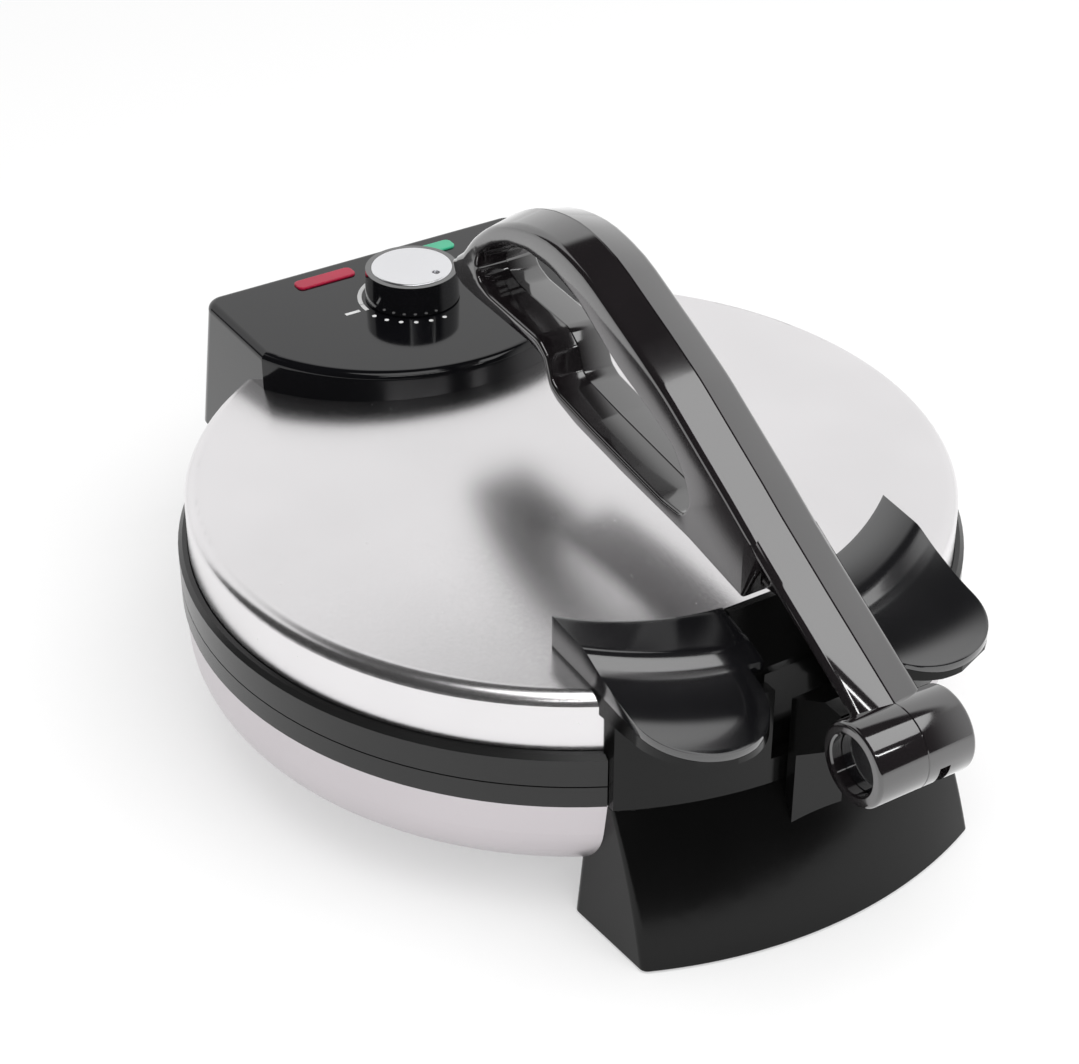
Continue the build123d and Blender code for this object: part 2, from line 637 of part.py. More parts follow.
upper_plate = cooking_plate(PLATE_UP_BOTTOM, upper_heater_z, PLATE_UP_TOP - PLATE_SCREW_DEPTH)
save(upper_plate, "upper_plate")
upper_heater = ring_heater(upper_heater_z, 1)
save(upper_heater, "upper_heater")
upper_heat_shield = heat_shield(ledge_high, 1)
save(upper_heat_shield, "upper_heat_shield")
upper_plate_screws = plate_screws(ledge_high, 1)
save(upper_plate_screws, "upper_plate_screws")

# Housing form: a D-shaped box on the dome, with two cheeks down to the hinge.
front_wall_low = BEAD_TOP - 3


def housing_plan(grow):
    """D outline about the nose centre: round front, straight sides, flat rear."""
    half = HOUSING_HALF + grow
    nose_r = HOUSING_NOSE_R + grow
    side_y = HOUSING_NOSE_Y - (nose_r ** 2 - half ** 2) ** 0.5
    rear_y = HOUSING_REAR_Y + grow
    with BuildSketch() as plan:
        with BuildLine():
            Polyline((-half, side_y), (-half, rear_y), (half, rear_y), (half, side_y))
            ThreePointArc((half, side_y), (0, HOUSING_NOSE_Y - nose_r), (-half, side_y))
        make_face()
    return plan.sketch


CHEEK_RUN = 34.0         # how far the cheeks reach forwards under the panel
HOUSING_CORNER = 7.0
REAR_LEAN = 2.2          # the rear wall stands this far in front of the cheeks' back edges
shell_hole_low = BEAD_TOP - 5
rear_wall_low = HINGE_Z + HINGE_BARREL_R + 4
# side view of the leaning rear wall between the cheeks
cheek_top = PANEL_Z - HOUSING_EDGE
rear_wall_outline = [
    (HOUSING_REAR_Y, cheek_top), (CHEEK_BACK_Y - REAR_LEAN, rear_wall_low),
    (CHEEK_BACK_Y - REAR_LEAN - HOUSING_WALL, rear_wall_low),
    (HOUSING_REAR_Y - HOUSING_WALL, cheek_top),
]
cheek_outline = [
    (HOUSING_REAR_Y, cheek_top), (CHEEK_BACK_Y, CHEEK_BOTTOM_Z), (CHEEK_FRONT_Y, CHEEK_BOTTOM_Z),
    (CHEEK_FRONT_Y, PARTING_Z + PARTING_GAP), (CHEEK_FRONT_Y - CHEEK_RUN, PARTING_Z + PARTING_GAP),
    (CHEEK_FRONT_Y - CHEEK_RUN, cheek_top),
]
ring_clear = BAND_R + FREE
shaft_hole_r = SHAFT_R + 0.6


def cheek(sign):
    """One of the housing's two cheeks, with its outer rear edge rounded."""
    with BuildPart() as block:
        cheek_half = (HOUSING_HALF - CHEEK_IN) / 2
        add(slab(cheek_outline, cheek_half, sign * (CHEEK_IN + cheek_half)))
        outer_edges = block.edges().group_by(Axis.X)[-1 if sign > 0 else 0]
        fillet(outer_edges.sort_by(Axis.Y)[-1], HOUSING_CORNER)
    return block


with BuildPart() as control_housing:
    with BuildSketch(level(front_wall_low)):
        add(housing_plan(0))
    extrude(amount=PANEL_Z - front_wall_low)
    fillet(control_housing.edges().filter_by(Axis.Z).group_by(Axis.Y)[-1], HOUSING_CORNER)
    fillet(control_housing.faces().sort_by(Axis.Z)[-1].edges(), HOUSING_EDGE)
    with BuildSketch(level(front_wall_low)):
        add(housing_plan(-HOUSING_WALL))
    extrude(amount=PANEL_Z - HOUSING_WALL - front_wall_low, mode=Mode.SUBTRACT)
    # leaning rear wall between the cheeks
    add(slab(rear_wall_outline, CHEEK_IN + 2))
    # cheeks with blind bores for the hinge pin
    for sign in (-1, 1):
        add(cheek(sign).part)
        with BuildSketch(side(sign * CHEEK_IN)):
            with Locations((HINGE_Y, HINGE_Z)):
                Circle(HINGE_PIN_R + RUN)
        extrude(amount=sign * (PIN_END + FREE), mode=Mode.SUBTRACT)
    add(lid_outside.part, mode=Mode.SUBTRACT)
    with BuildSketch(level(BAND_BOTTOM)):
        Circle(ring_clear)
    extrude(amount=BAND_TOP - BAND_BOTTOM, mode=Mode.SUBTRACT)
    # holes for the knob's shaft and the two lenses
    with BuildSketch(level(PANEL_Z - HOUSING_WALL)):
        with Locations((0, KNOB_Y)):
            Circle(shaft_hole_r)
        with Locations((-LENS_X, LENS_Y), (LENS_X, LENS_Y)):
            RectangleRounded(LENS_L, LENS_W, LENS_CORNER)
    extrude(amount=HOUSING_WALL, mode=Mode.SUBTRACT)
save(control_housing, "control_housing")

# Lenses: shallow caps set in the panel.
for lens_name, lens_x in (("red_lens", -LENS_X), ("green_lens", LENS_X)):
    with BuildPart() as lens:
        with BuildSketch(level(PANEL_Z - HOUSING_WALL, LENS_Y)):
            with Locations((lens_x, 0)):
                RectangleRounded(LENS_L, LENS_W, LENS_CORNER)
        extrude(amount=HOUSING_WALL + LENS_RISE)
        fillet(lens.faces().sort_by(Axis.Z)[-1].edges(), LENS_EDGE)
    save(lens, lens_name)

# Neon lamps under the lenses.
LAMP_R = 2.6
LAMP_L = 16.0
with BuildPart() as indicator_lamps:
    for lamp_x in (-LENS_X, LENS_X):
        with BuildSketch(Plane(origin=(lamp_x - LAMP_L / 2, DRUM_Y + LENS_Y,
                                       PANEL_Z - HOUSING_WALL - LAMP_R - FREE),
                               x_dir=(0, 1, 0), z_dir=(1, 0, 0))):
            Circle(LAMP_R)
        extrude(amount=LAMP_L)
save(indicator_lamps, "indicator_lamps")

# Upper shell: pressed steel dome with a bead at its rim, cut away for the lever channel.
SHELL_HOLE_R = 9.0
with BuildPart() as upper_shell:
    with BuildSketch(section):
        with BuildLine():
            Line((0, DOME_TOP - STEEL), (0, DOME_TOP))
            lid_arcs(0)
            Polyline((LID_R, RIM_Z), (LID_R, RING_GROOVE_Z), (LID_R - STEEL, RING_GROOVE_Z),
                     (LID_R - STEEL, RIM_Z))
            lid_arcs(STEEL)
        make_face()
    revolve(axis=DRUM_AXIS)
    with BuildSketch(level(shell_hole_low)):
        with Locations((0, KNOB_Y)):
            Circle(SHELL_HOLE_R)
    extrude(amount=PANEL_Z - shell_hole_low, mode=Mode.SUBTRACT)
    add(channel_cut.part, mode=Mode.SUBTRACT)
save(upper_shell, "upper_shell")

# Thermostat on the upper heat shield, under the knob; its shaft is the knob's own.
THERMO_R = 11.0
THERMO_H = 6.0
shield_over = ledge_high + SHIELD_DEPTH + SHEET
with BuildPart() as thermostat:
    with BuildSketch(level(shield_over, KNOB_Y - THERMO_R / 2)):
        Circle(THERMO_R)
    extrude(amount=THERMO_H)
    with BuildSketch(level(shield_over, KNOB_Y)):
        Circle(SHAFT_R + RUN)
    extrude(amount=THERMO_H, mode=Mode.SUBTRACT)
save(thermostat, "thermostat")

# Thermal fuse, clipped to the upper heat shield.
FUSE_R = 2.0
FUSE_L = 16.0
FUSE_Y = 40.0
with BuildPart() as thermal_fuse:
    with BuildSketch(Plane(origin=(-FUSE_L / 2, DRUM_Y + FUSE_Y, shield_over + FUSE_R),
                           x_dir=(0, 1, 0), z_dir=(1, 0, 0))):
        Circle(FUSE_R)
    extrude(amount=FUSE_L)
save(thermal_fuse, "thermal_fuse")

# ======== Knob ========
KNOB_TAPER = 2.0
CAP_LIP = 0.4            # the cap stands this far over the knob's rim
SOCKET_TOP = 1.6         # plastic left between the shaft's end and the cap
knob_base = PANEL_Z + KNOB_LIFT
cap_low = knob_base + KNOB_H - CAP_T + CAP_LIP
shaft_top = knob_base + KNOB_H - CAP_T - SOCKET_TOP
with BuildPart() as knob_body:
    with BuildSketch(level(knob_base, KNOB_Y)):
        Circle(KNOB_R)
    extrude(amount=KNOB_H, taper=KNOB_TAPER)
    with BuildSketch(level(cap_low, KNOB_Y)):
        Circle(CAP_R)
    extrude(amount=CAP_T, mode=Mode.SUBTRACT)
    with BuildSketch(level(knob_base, KNOB_Y)):
        Circle(SHAFT_R)
    extrude(amount=shaft_top - knob_base, mode=Mode.SUBTRACT)
save(knob_body, "knob_body")

DIMPLE_TURN = 300.0      # degrees round the knob
DIMPLE_RING_R = 10.5
DIMPLE_T = 1.0
CAP_EDGE = 0.6
with BuildPart() as knob_cap:
    with BuildSketch(level(cap_low, KNOB_Y)):
        Circle(CAP_R)
    extrude(amount=CAP_T)
    fillet(knob_cap.faces().sort_by(Axis.Z)[-1].edges(), CAP_EDGE)
    with BuildSketch(level(cap_low + CAP_T - DIMPLE_T, KNOB_Y)):
        with PolarLocations(DIMPLE_RING_R, 1, start_angle=DIMPLE_TURN):
            Circle(DIMPLE_R)
    extrude(amount=DIMPLE_T, mode=Mode.SUBTRACT)
save(knob_cap, "knob_cap")

shaft_low = shield_over + 1
with BuildPart() as knob_shaft:
    with BuildSketch(level(shaft_low, KNOB_Y)):
        Circle(SHAFT_R)
    extrude(amount=shaft_top - shaft_low)
save(knob_shaft, "knob_shaft")

# ======== Grips ========
# The grips' top is a scoop. At three distances from the middle, and at four radii from the rear
# edge over the crease and the fold to the lip, these are the heights over the lid's rim of the
# cover's top, of the seam below it and of the body's underside.
STATION_X = [CHANNEL_HALF + SEAT, 36.0, GRIP_HALF]
STATION_R = [LID_R - 22.9, LID_R - 7.4, LID_R - 0.4, BAND_R + 28.2]
TOP_RISE = [(14.2, 10.4, 7.4, 1.6), (14.6, 12.0, 8.8, 1.8), (17.9, 16.4, 12.6, 4.7)]
SEAM_RISE = [(6.4, 4.8, 4.0, -1.2), (6.4, 5.0, 4.4, -1.0), (6.6, 5.6, 5.0, 1.9)]
UNDER_RISE = [(4.4, 2.0, -4.0, -3.4), (4.4, 2.0, -4.0, -3.2), (4.4, 2.0, -3.0, -0.3)]
REAR_LENGTH = 52.0
LIP_FRONT_Y = -BAND_R - 22.0
lip_round = (GRIP_HALF - LIP_INNER_X) / 2
lip_x = (GRIP_HALF + LIP_INNER_X) / 2


def station(k, rises, drop=0.0):
    """Points (y, z) of one of the grips' surfaces at station k, lowered by drop."""
    out = []
    for radius, rise in zip(STATION_R, rises[k]):
        out.append((-(radius ** 2 - STATION_X[k] ** 2) ** 0.5, RIM_Z + rise - drop))
    return out


def grip_solid(upper, lower, flip, drop=0.0):
    """Ruled solid between two surfaces, on the right, or on the left if flip is -1."""
    with BuildPart() as wing:
        for k in range(len(STATION_X)):
            with BuildSketch(side(flip * STATION_X[k])):
                with BuildLine():
                    Polyline(*station(k, upper, drop), *reversed(station(k, lower)), close=True)
                make_face()
        loft(ruled=True)
    return wing


def lip_plan(flip):
    """Plan of one grip: a straight rear part and a tongue with a round end for the lip."""
    lip_back = -STATION_R[2]
    tongue_y = LIP_FRONT_Y + lip_round
    with BuildPart() as plan:
        with BuildSketch(level(BAND_TOP)):
            with Locations((flip * lip_x, tongue_y)):
                Circle(lip_round)
            with Locations((flip * lip_x, (tongue_y + lip_back + lip_round) / 2)):
                Rectangle(2 * lip_round, lip_back + lip_round - tongue_y)
            with Locations((flip * (CHANNEL_HALF + GRIP_HALF) / 2, lip_back + REAR_LENGTH / 2)):
                Rectangle(GRIP_HALF - CHANNEL_HALF, REAR_LENGTH)
        extrude(amount=PANEL_Z - BAND_TOP + KNOB_H)
    return plan


for grip_name, flip in (("right_grip_cover", 1), ("left_grip_cover", -1)):
    skin = grip_solid(TOP_RISE, SEAM_RISE, flip)
    plan = lip_plan(flip)
    with BuildPart() as grip_cover:
        add(skin.part)
        add(plan.part, mode=Mode.INTERSECT)
    save(grip_cover, grip_name)

# Grip body: apron in front of the rings, the grips' underside, and the channel's floor and wall.
channel_wall_y = -STATION_R[0]
channel_wall_top = RIM_Z + TOP_RISE[0][0]
channel_wall_low = CHANNEL_MID_Z + WALL
with BuildPart() as grip_body:
    with BuildSketch(level(FOOT_TOP + FREE)):
        Circle(APRON_R)
        Circle(APRON_IN_R, mode=Mode.SUBTRACT)
        with Locations((0, -BIG / 4)):
            Rectangle(2 * APRON_HALF, BIG / 2, mode=Mode.INTERSECT)
    extrude(amount=RIM_Z - FOOT_TOP)
    for flip in (1, -1):
        under = grip_solid(SEAM_RISE, UNDER_RISE, flip, SEAT)
        plan = lip_plan(flip)
        with BuildPart(mode=Mode.PRIVATE) as under_cut:
            add(under.part)
            add(plan.part, mode=Mode.INTERSECT)
        add(under_cut.part)
    # nothing of the body is left above the channel
    with BuildSketch(side()):
        with BuildLine():
            Polyline((channel_back_y, CHANNEL_REAR_Z + CHANNEL_TILT), (CHANNEL_MID_Y, CHANNEL_MID_Z),
                     (CHANNEL_FRONT_Y, CHANNEL_FRONT_Z), (CHANNEL_FRONT_Y - SEAT, CHANNEL_END_Z),
                     (-BIG / 2, CHANNEL_END_Z), (-BIG / 2, CHANNEL_HIGH_Z),
                     (channel_back_y, CHANNEL_HIGH_Z), close=True)
        make_face()
    extrude(amount=CHANNEL_HALF, both=True, mode=Mode.SUBTRACT)
    add(lid_outside.part, mode=Mode.SUBTRACT)
    # channel floor and its two side walls
    floor_t = CHANNEL_T - 2 * SEAT
    add(slab([
        (CHANNEL_REAR_Y, CHANNEL_REAR_Z), (CHANNEL_MID_Y, CHANNEL_MID_Z),
        (CHANNEL_FRONT_Y, CHANNEL_FRONT_Z), (CHANNEL_FRONT_Y, CHANNEL_FRONT_Z - floor_t + CHANNEL_TILT),
        (CHANNEL_MID_Y, CHANNEL_MID_Z - floor_t), (CHANNEL_REAR_Y, CHANNEL_REAR_Z - floor_t),
    ], CHANNEL_HALF + WALL))
    # wall across the channel, level with the grips' rear edges
    add(slab([
        (channel_wall_y, CHANNEL_REAR_Z - floor_t), (channel_wall_y, channel_wall_top),
        (channel_wall_y - WALL, channel_wall_top), (CHANNEL_MID_Y, channel_wall_low),
        (CHANNEL_MID_Y, CHANNEL_MID_Z - 1),
    ], CHANNEL_HALF))
save(grip_body, "grip_body")

# ======== Lever ========
# Side outline of the lever, as (y, z) points from the pivot: the arm rises from the barrel,
# arches over behind the middle and returns as a lower member, round a long window.
outer_line = [
    (5.6, 14.2), (39.5, 33.0), (62.7, 46.2), (73.9, 53.0), (107.8, 72.6),
    (124.8, 80.4), (155.6, 93.8), (175.7, 97.6),
]
arch = [(193.4, 95.4), (205.5, 91.2), (218.0, 84.4), (228.7, 75.4), (235.9, 66.9), (239.5, 62.0)]
tip = [(240.7, 58.5), (239.1, 54.8), (234.0, 52.6)]
under_line = [
    (225.1, 51.8), (190.1, 50.6), (181.6, 49.0), (176.5, 38.9), (172.1, 36.3), (160.5, 33.2),
    (131.3, 29.2), (94.1, 25.0), (64.6, 19.7), (54.1, 24.6), (37.1, 19.0), (19.1, 9.6), (13.5, 4.6),
]
window = [
    (98.1, 32.0), (109.4, 31.8), (152.6, 37.4), (171.1, 40.4), (175.3, 42.4), (178.9, 50.2),
    (182.6, 54.6), (192.8, 55.4), (216.1, 56.7), (222.6, 59.0), (225.1, 63.0), (224.1, 68.0),
    (220.1, 73.0), (204.8, 81.4), (192.1, 84.6), (178.0, 84.6), (160.1, 80.4), (135.1, 67.6),
    (117.1, 60.0), (104.5, 54.2), (97.3, 45.6), (94.5, 39.6),
]
# The root is a thin roof on a narrow web: this outline is cut away beside the web.
WEB_HALF = 7.5
root_side = [(-10.0, 0.0), (39.5, 27.4), (54.5, 36.0), (64.6, 19.7), (64.6, -10.0), (-10.0, -10.0)]
screw_spots = [(78.1, 36.0), (125.0, 71.4), (167.1, 89.8), (232.4, 59.4)]
SCREW_SINK = 2.0         # the heads lie this far inside the right half's side
SCREW_TIP_X = -6.0
EYE_ROOM_R = EYE_R + 1.0
slot_mid = (SLOT_IN + SLOT_OUT) / 2
slot_half = (SLOT_OUT - SLOT_IN) / 2


def at_pivot(x=0.0):
    """Upright plane at x; its first axis is y from the pivot, its second is z from the pivot."""
    return Plane(origin=(x, DRUM_Y + PIVOT_Y, PIVOT_Z), x_dir=(0, 1, 0), z_dir=(1, 0, 0))


with BuildPart() as lever_form:
    with BuildSketch(at_pivot()):
        with BuildLine():
            Polyline(*outer_line, *arch, *tip, *under_line, close=True)
        make_face()
        with BuildLine():
            Polyline(*window, close=True)
        make_face(mode=Mode.SUBTRACT)
    extrude(amount=ARM_HALF, both=True)
    for sign in (-1, 1):
        with BuildSketch(at_pivot(sign * WEB_HALF)):
            with BuildLine():
                Polyline(*root_side, close=True)
            make_face()
        extrude(amount=sign * (ARM_HALF - WEB_HALF), mode=Mode.SUBTRACT)
    with BuildSketch(at_pivot()):
        Circle(BARREL_R)
    extrude(amount=BARREL_HALF, both=True)
    # recessed ends
    for sign in (-1, 1):
        with BuildSketch(at_pivot(sign * BARREL_HALF)):
            Circle(RECESS_R)
        extrude(amount=-sign * RECESS_T, mode=Mode.SUBTRACT)
    # bore for the bushes, and a room for the tongue's eye
    with BuildSketch(at_pivot()):
        Circle(BUSH_R)
    extrude(amount=BUSH_END, both=True, mode=Mode.SUBTRACT)
    with BuildSketch(at_pivot(slot_mid)):
        Circle(EYE_ROOM_R)
    extrude(amount=slot_half, both=True, mode=Mode.SUBTRACT)
    # screw holes, sunk in the right side
    with BuildSketch(at_pivot(ARM_HALF - SCREW_SINK)):
        with Locations(*screw_spots):
            Circle(SCREW_HEAD_R + FREE)
    extrude(amount=SCREW_SINK, mode=Mode.SUBTRACT)
    with BuildSketch(at_pivot(SCREW_TIP_X - FREE)):
        with Locations(*screw_spots):
            Circle(SCREW_R + RUN)
    extrude(amount=ARM_HALF - SCREW_TIP_X, mode=Mode.SUBTRACT)

# slot through the barrel's wall, from just under its front round to behind it
SLOT_FRONT_DEG = 186.0
SLOT_REAR_DEG = 388.0
slot_sweep = SLOT_REAR_DEG - SLOT_FRONT_DEG
slot_reach = BARREL_R + 2.0
with BuildPart() as slot_cut:
    with BuildSketch(at_pivot(slot_mid)):
        with BuildLine():
            slot_arc = CenterArc((0, 0), slot_reach, SLOT_FRONT_DEG, slot_sweep)
            Line(slot_arc @ 1, (0, 0))
            Line((0, 0), slot_arc @ 0)
        make_face()
    extrude(amount=slot_half, both=True)

for half_name, kept in (("lever_right_shell", Keep.TOP), ("lever_left_shell", Keep.BOTTOM)):
    with BuildPart() as lever_half:
        add(lever_form.part)
        add(slot_cut.part, mode=Mode.SUBTRACT)
        split(bisect_by=Plane.YZ, keep=kept)
    save(lever_half, half_name)

# Screws that join the two halves.
with BuildPart() as lever_screws:
    with BuildSketch(at_pivot(ARM_HALF - SCREW_SINK)):
        with Locations(*screw_spots):
            Circle(SCREW_HEAD_R)
    extrude(amount=SCREW_HEAD_T)
    with BuildSketch(at_pivot(SCREW_TIP_X)):
        with Locations(*screw_spots):
            Circle(SCREW_R)
    extrude(amount=ARM_HALF - SCREW_SINK - SCREW_TIP_X)
save(lever_screws, "lever_screws")

# Bushes that run on the pin, left and right of the tongue.
with BuildPart() as lever_bushes:
    for inner, outer in ((-BUSH_END, SLOT_IN - TONGUE_GAP), (SLOT_OUT + TONGUE_GAP, BUSH_END)):
        with BuildSketch(at_pivot(inner)):
            Circle(BUSH_R)
            Circle(PIVOT_PIN_R + RUN, mode=Mode.SUBTRACT)
        extrude(amount=outer - inner)
save(lever_bushes, "lever_bushes")

# Discs set in the barrel's ends.
END_CAP_T = 1.0
with BuildPart() as lever_end_caps:
    for sign in (-1, 1):
        with BuildSketch(at_pivot(sign * (BARREL_HALF - RECESS_T))):
            Circle(RECESS_R - FREE)
        extrude(amount=sign * END_CAP_T)
save(lever_end_caps, "lever_end_caps")
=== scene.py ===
import json
import math

import bmesh
import bpy
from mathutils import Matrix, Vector


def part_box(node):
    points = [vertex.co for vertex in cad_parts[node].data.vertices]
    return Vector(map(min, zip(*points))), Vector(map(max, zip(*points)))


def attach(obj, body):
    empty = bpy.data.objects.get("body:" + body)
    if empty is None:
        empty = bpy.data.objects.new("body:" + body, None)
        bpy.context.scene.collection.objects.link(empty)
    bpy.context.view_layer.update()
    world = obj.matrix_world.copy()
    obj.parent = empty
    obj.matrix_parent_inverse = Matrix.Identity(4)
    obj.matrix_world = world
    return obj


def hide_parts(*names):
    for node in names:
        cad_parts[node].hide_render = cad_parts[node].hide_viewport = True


# ---- The frame, and the places taken from it -------------------------------------------------
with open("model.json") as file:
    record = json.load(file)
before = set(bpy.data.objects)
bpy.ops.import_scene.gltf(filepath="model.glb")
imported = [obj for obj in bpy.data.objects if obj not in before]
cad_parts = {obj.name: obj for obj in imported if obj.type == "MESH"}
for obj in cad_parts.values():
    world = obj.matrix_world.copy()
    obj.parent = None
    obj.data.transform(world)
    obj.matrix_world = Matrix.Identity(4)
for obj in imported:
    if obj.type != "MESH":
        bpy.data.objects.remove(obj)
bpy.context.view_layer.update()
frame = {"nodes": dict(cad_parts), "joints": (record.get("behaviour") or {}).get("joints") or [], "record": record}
MM = 0.001
JOINTS = {j["name"]: j for j in frame["joints"]}
PIVOT = Vector(JOINTS["lever_swing"]["pos_m"])
KNOB = Vector(JOINTS["knob_turn"]["pos_m"])

SHARP = 32.0          # edges over this many degrees are drawn crisp
ARC_STEP = 9.0        # degrees a rounded corner turns in one step
EDGE_STEPS = 4        # faces across a rounded edge of the lever
ROUND_STEPS = 96
FLAT_TURN = 0.01      # corners that turn less, in radians, stay as they are
ARC_REACH = 0.49      # share of a side that one corner's arc may take
WELD = 0.000001       # metres


def middle(node):
    low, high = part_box(node)
    return (low + high) / 2


DRUM_Y = middle("upper_plate").y
PIVOT_Y = (PIVOT.y - DRUM_Y) / MM
PIVOT_Z = PIVOT.z / MM
KNOB_Y = (KNOB.y - DRUM_Y) / MM

# ---- Camera, in metres from the drum's axis ---------------------------------------------------
CAMERA_AT = Vector((-0.40123, -0.62144 + DRUM_Y, 0.55486))
CAMERA_YAW = 0.5585
CAMERA_PITCH = 0.5882
FOCAL_SHARE = 2500 / 1079      # focal length over the picture's width, a chosen value
SENSOR_MM = 36.0
NEAREST = 0.01                 # metres; nothing nearer is drawn


def add_camera():
    data = bpy.data.cameras.new("camera")
    data.sensor_fit = "HORIZONTAL"
    data.sensor_width = SENSOR_MM
    data.lens = SENSOR_MM * FOCAL_SHARE
    data.clip_start = NEAREST
    camera = bpy.data.objects.new("camera", data)
    bpy.context.scene.collection.objects.link(camera)
    look = Vector((math.sin(CAMERA_YAW) * math.cos(CAMERA_PITCH),
                   math.cos(CAMERA_YAW) * math.cos(CAMERA_PITCH), -math.sin(CAMERA_PITCH)))
    camera.rotation_euler = look.to_track_quat("-Z", "Y").to_euler()
    camera.location = CAMERA_AT
    bpy.context.scene.camera = camera


# ---- Node helpers -----------------------------------------------------------------------------
def new_material(name):
    material = bpy.data.materials.new(name)
    material.use_nodes = True
    tree = material.node_tree
    shader = tree.nodes["Principled BSDF"]
    return material, tree, shader


def node(tree, kind, **values):
    made = tree.nodes.new(kind)
    for key, value in values.items():
        setattr(made, key, value)
    return made


def noise(tree, scale, detail):
    """Noise in object space."""
    coordinates = node(tree, "ShaderNodeTexCoord")
    texture = node(tree, "ShaderNodeTexNoise")
    texture.inputs["Scale"].default_value = scale
    texture.inputs["Detail"].default_value = detail
    tree.links.new(coordinates.outputs["Object"], texture.inputs["Vector"])
    return texture.outputs["Fac"]


def ramp(tree, value, stops):
    """Colour from a ramp between two (position, colour) stops."""
    made = node(tree, "ShaderNodeValToRGB")
    for element, (position, colour) in zip(made.color_ramp.elements, stops):
        element.position = position
        element.color = (*colour, 1)
    tree.links.new(value, made.inputs["Fac"])
    return made.outputs["Color"]


def bump(tree, shader, height, distance):
    made = node(tree, "ShaderNodeBump")
    made.inputs["Distance"].default_value = distance
    made.inputs["Strength"].default_value = BUMP_STRENGTH
    tree.links.new(height, made.inputs["Height"])
    tree.links.new(made.outputs["Normal"], shader.inputs["Normal"])


def range_map(tree, value, low, high):
    made = node(tree, "ShaderNodeMapRange")
    made.inputs["To Min"].default_value = low
    made.inputs["To Max"].default_value = high
    tree.links.new(value, made.inputs["Value"])
    return made.outputs["Result"]


# ---- Materials --------------------------------------------------------------------------------
BUMP_STRENGTH = 1.0
PLASTIC_IOR = 1.53
PLAIN_SPECULAR = 0.5
COAT_ROUGHNESS = 0.06
COAT_IOR = 1.6
PLASTIC_SHADE = 0.8        # the darker end of a plastic's uneven colour
PLASTIC_STOPS = (0.35, 0.65)
GRAIN_SCALE = 2200.0
BRUSH_SCALE = 900.0
CLOUD_SCALE = 14.0
STEEL_SHADE = 0.94
STEEL_STOPS = (0.3, 0.7)
FINE_DETAIL = 4.0
BROAD_DETAIL = 2.0

# Colour, least and most roughness, then where they are set: grain, scale of the unevenness, polish.
PLASTICS = {
    "gloss_black": ((0.006, 0.006, 0.007), 0.08, 0.15, 0.0, 30.0, 0.8),
    "foot_black": ((0.004, 0.004, 0.004), 0.12, 0.2, 0.0, 30.0, -0.55),
    "panel_black": ((0.004, 0.004, 0.005), 0.06, 0.12, 0.0, 30.0, -0.2),
    "ring_black": ((0.012, 0.012, 0.012), 0.2, 0.3, 0.0, 30.0, -0.2),
    "coated_plate": ((0.035, 0.035, 0.038), 0.28, 0.4, 0.00004, 40.0),
    "rubber_black": ((0.02, 0.02, 0.02), 0.6, 0.75, 0.00003),
    "cream_plastic": ((0.70, 0.66, 0.56), 0.4, 0.55, 0.00002),
    "red_lens": ((0.42, 0.010, 0.045), 0.12, 0.2, 0.0, 60.0, -0.4),
    "green_lens": ((0.05, 0.50, 0.28), 0.08, 0.16),
    "lamp_glass": ((0.8, 0.7, 0.6), 0.05, 0.1),
    "lever_black": ((0.010, 0.008, 0.009), 0.07, 0.12, 0.0, 30.0, 1.0),
    "print_white": ((0.90, 0.90, 0.90), 0.4, 0.55),
}

# Colour, least and most roughness, then the depth of the brushing where it is set.
STEELS = {
    "satin_steel": ((0.80, 0.785, 0.795), 0.2, 0.3, 0.000008),
    "shell_steel": ((0.60, 0.565, 0.585), 0.25, 0.35, 0.000008),
    "dark_steel": ((0.42, 0.42, 0.43), 0.35, 0.5),
    "zinc_steel": ((0.60, 0.60, 0.62), 0.25, 0.4),
    "element_steel": ((0.24, 0.22, 0.21), 0.35, 0.5),
    "knob_silver": ((0.80, 0.80, 0.82), 0.2, 0.3),
    "brass_bush": ((0.72, 0.52, 0.22), 0.25, 0.35),
}


def colour_and_gloss(tree, shader, cloud, stops, shade, colour, rough):
    """Colour that drifts with the cloud, and roughness that drifts between its two ends."""
    dark = tuple(c * shade for c in colour)
    tint = ramp(tree, cloud, zip(stops, (dark, colour)))
    tree.links.new(tint, shader.inputs["Base Color"])
    tree.links.new(rough, shader.inputs["Roughness"])


def plastic(name, colour, rough_low, rough_high, grain=0.0, scale=60.0, polish=0.0):
    """Moulded plastic: a slightly uneven gloss and, where grain is set, a fine texture. Polish over 0
    adds a clear coat and a stronger reflection; under 0 it dulls the plastic."""
    material, tree, shader = new_material(name)
    shader.inputs["IOR"].default_value = PLASTIC_IOR
    shader.inputs["Specular IOR Level"].default_value = PLAIN_SPECULAR + polish / 2
    shader.inputs["Coat Weight"].default_value = max(0.0, polish)
    shader.inputs["Coat Roughness"].default_value = COAT_ROUGHNESS
    shader.inputs["Coat IOR"].default_value = COAT_IOR
    cloud = noise(tree, scale, FINE_DETAIL)
    rough = range_map(tree, cloud, rough_low, rough_high)
    colour_and_gloss(tree, shader, cloud, PLASTIC_STOPS, PLASTIC_SHADE, colour, rough)
    if grain:
        bump(tree, shader, noise(tree, GRAIN_SCALE, BROAD_DETAIL), grain)
    return material


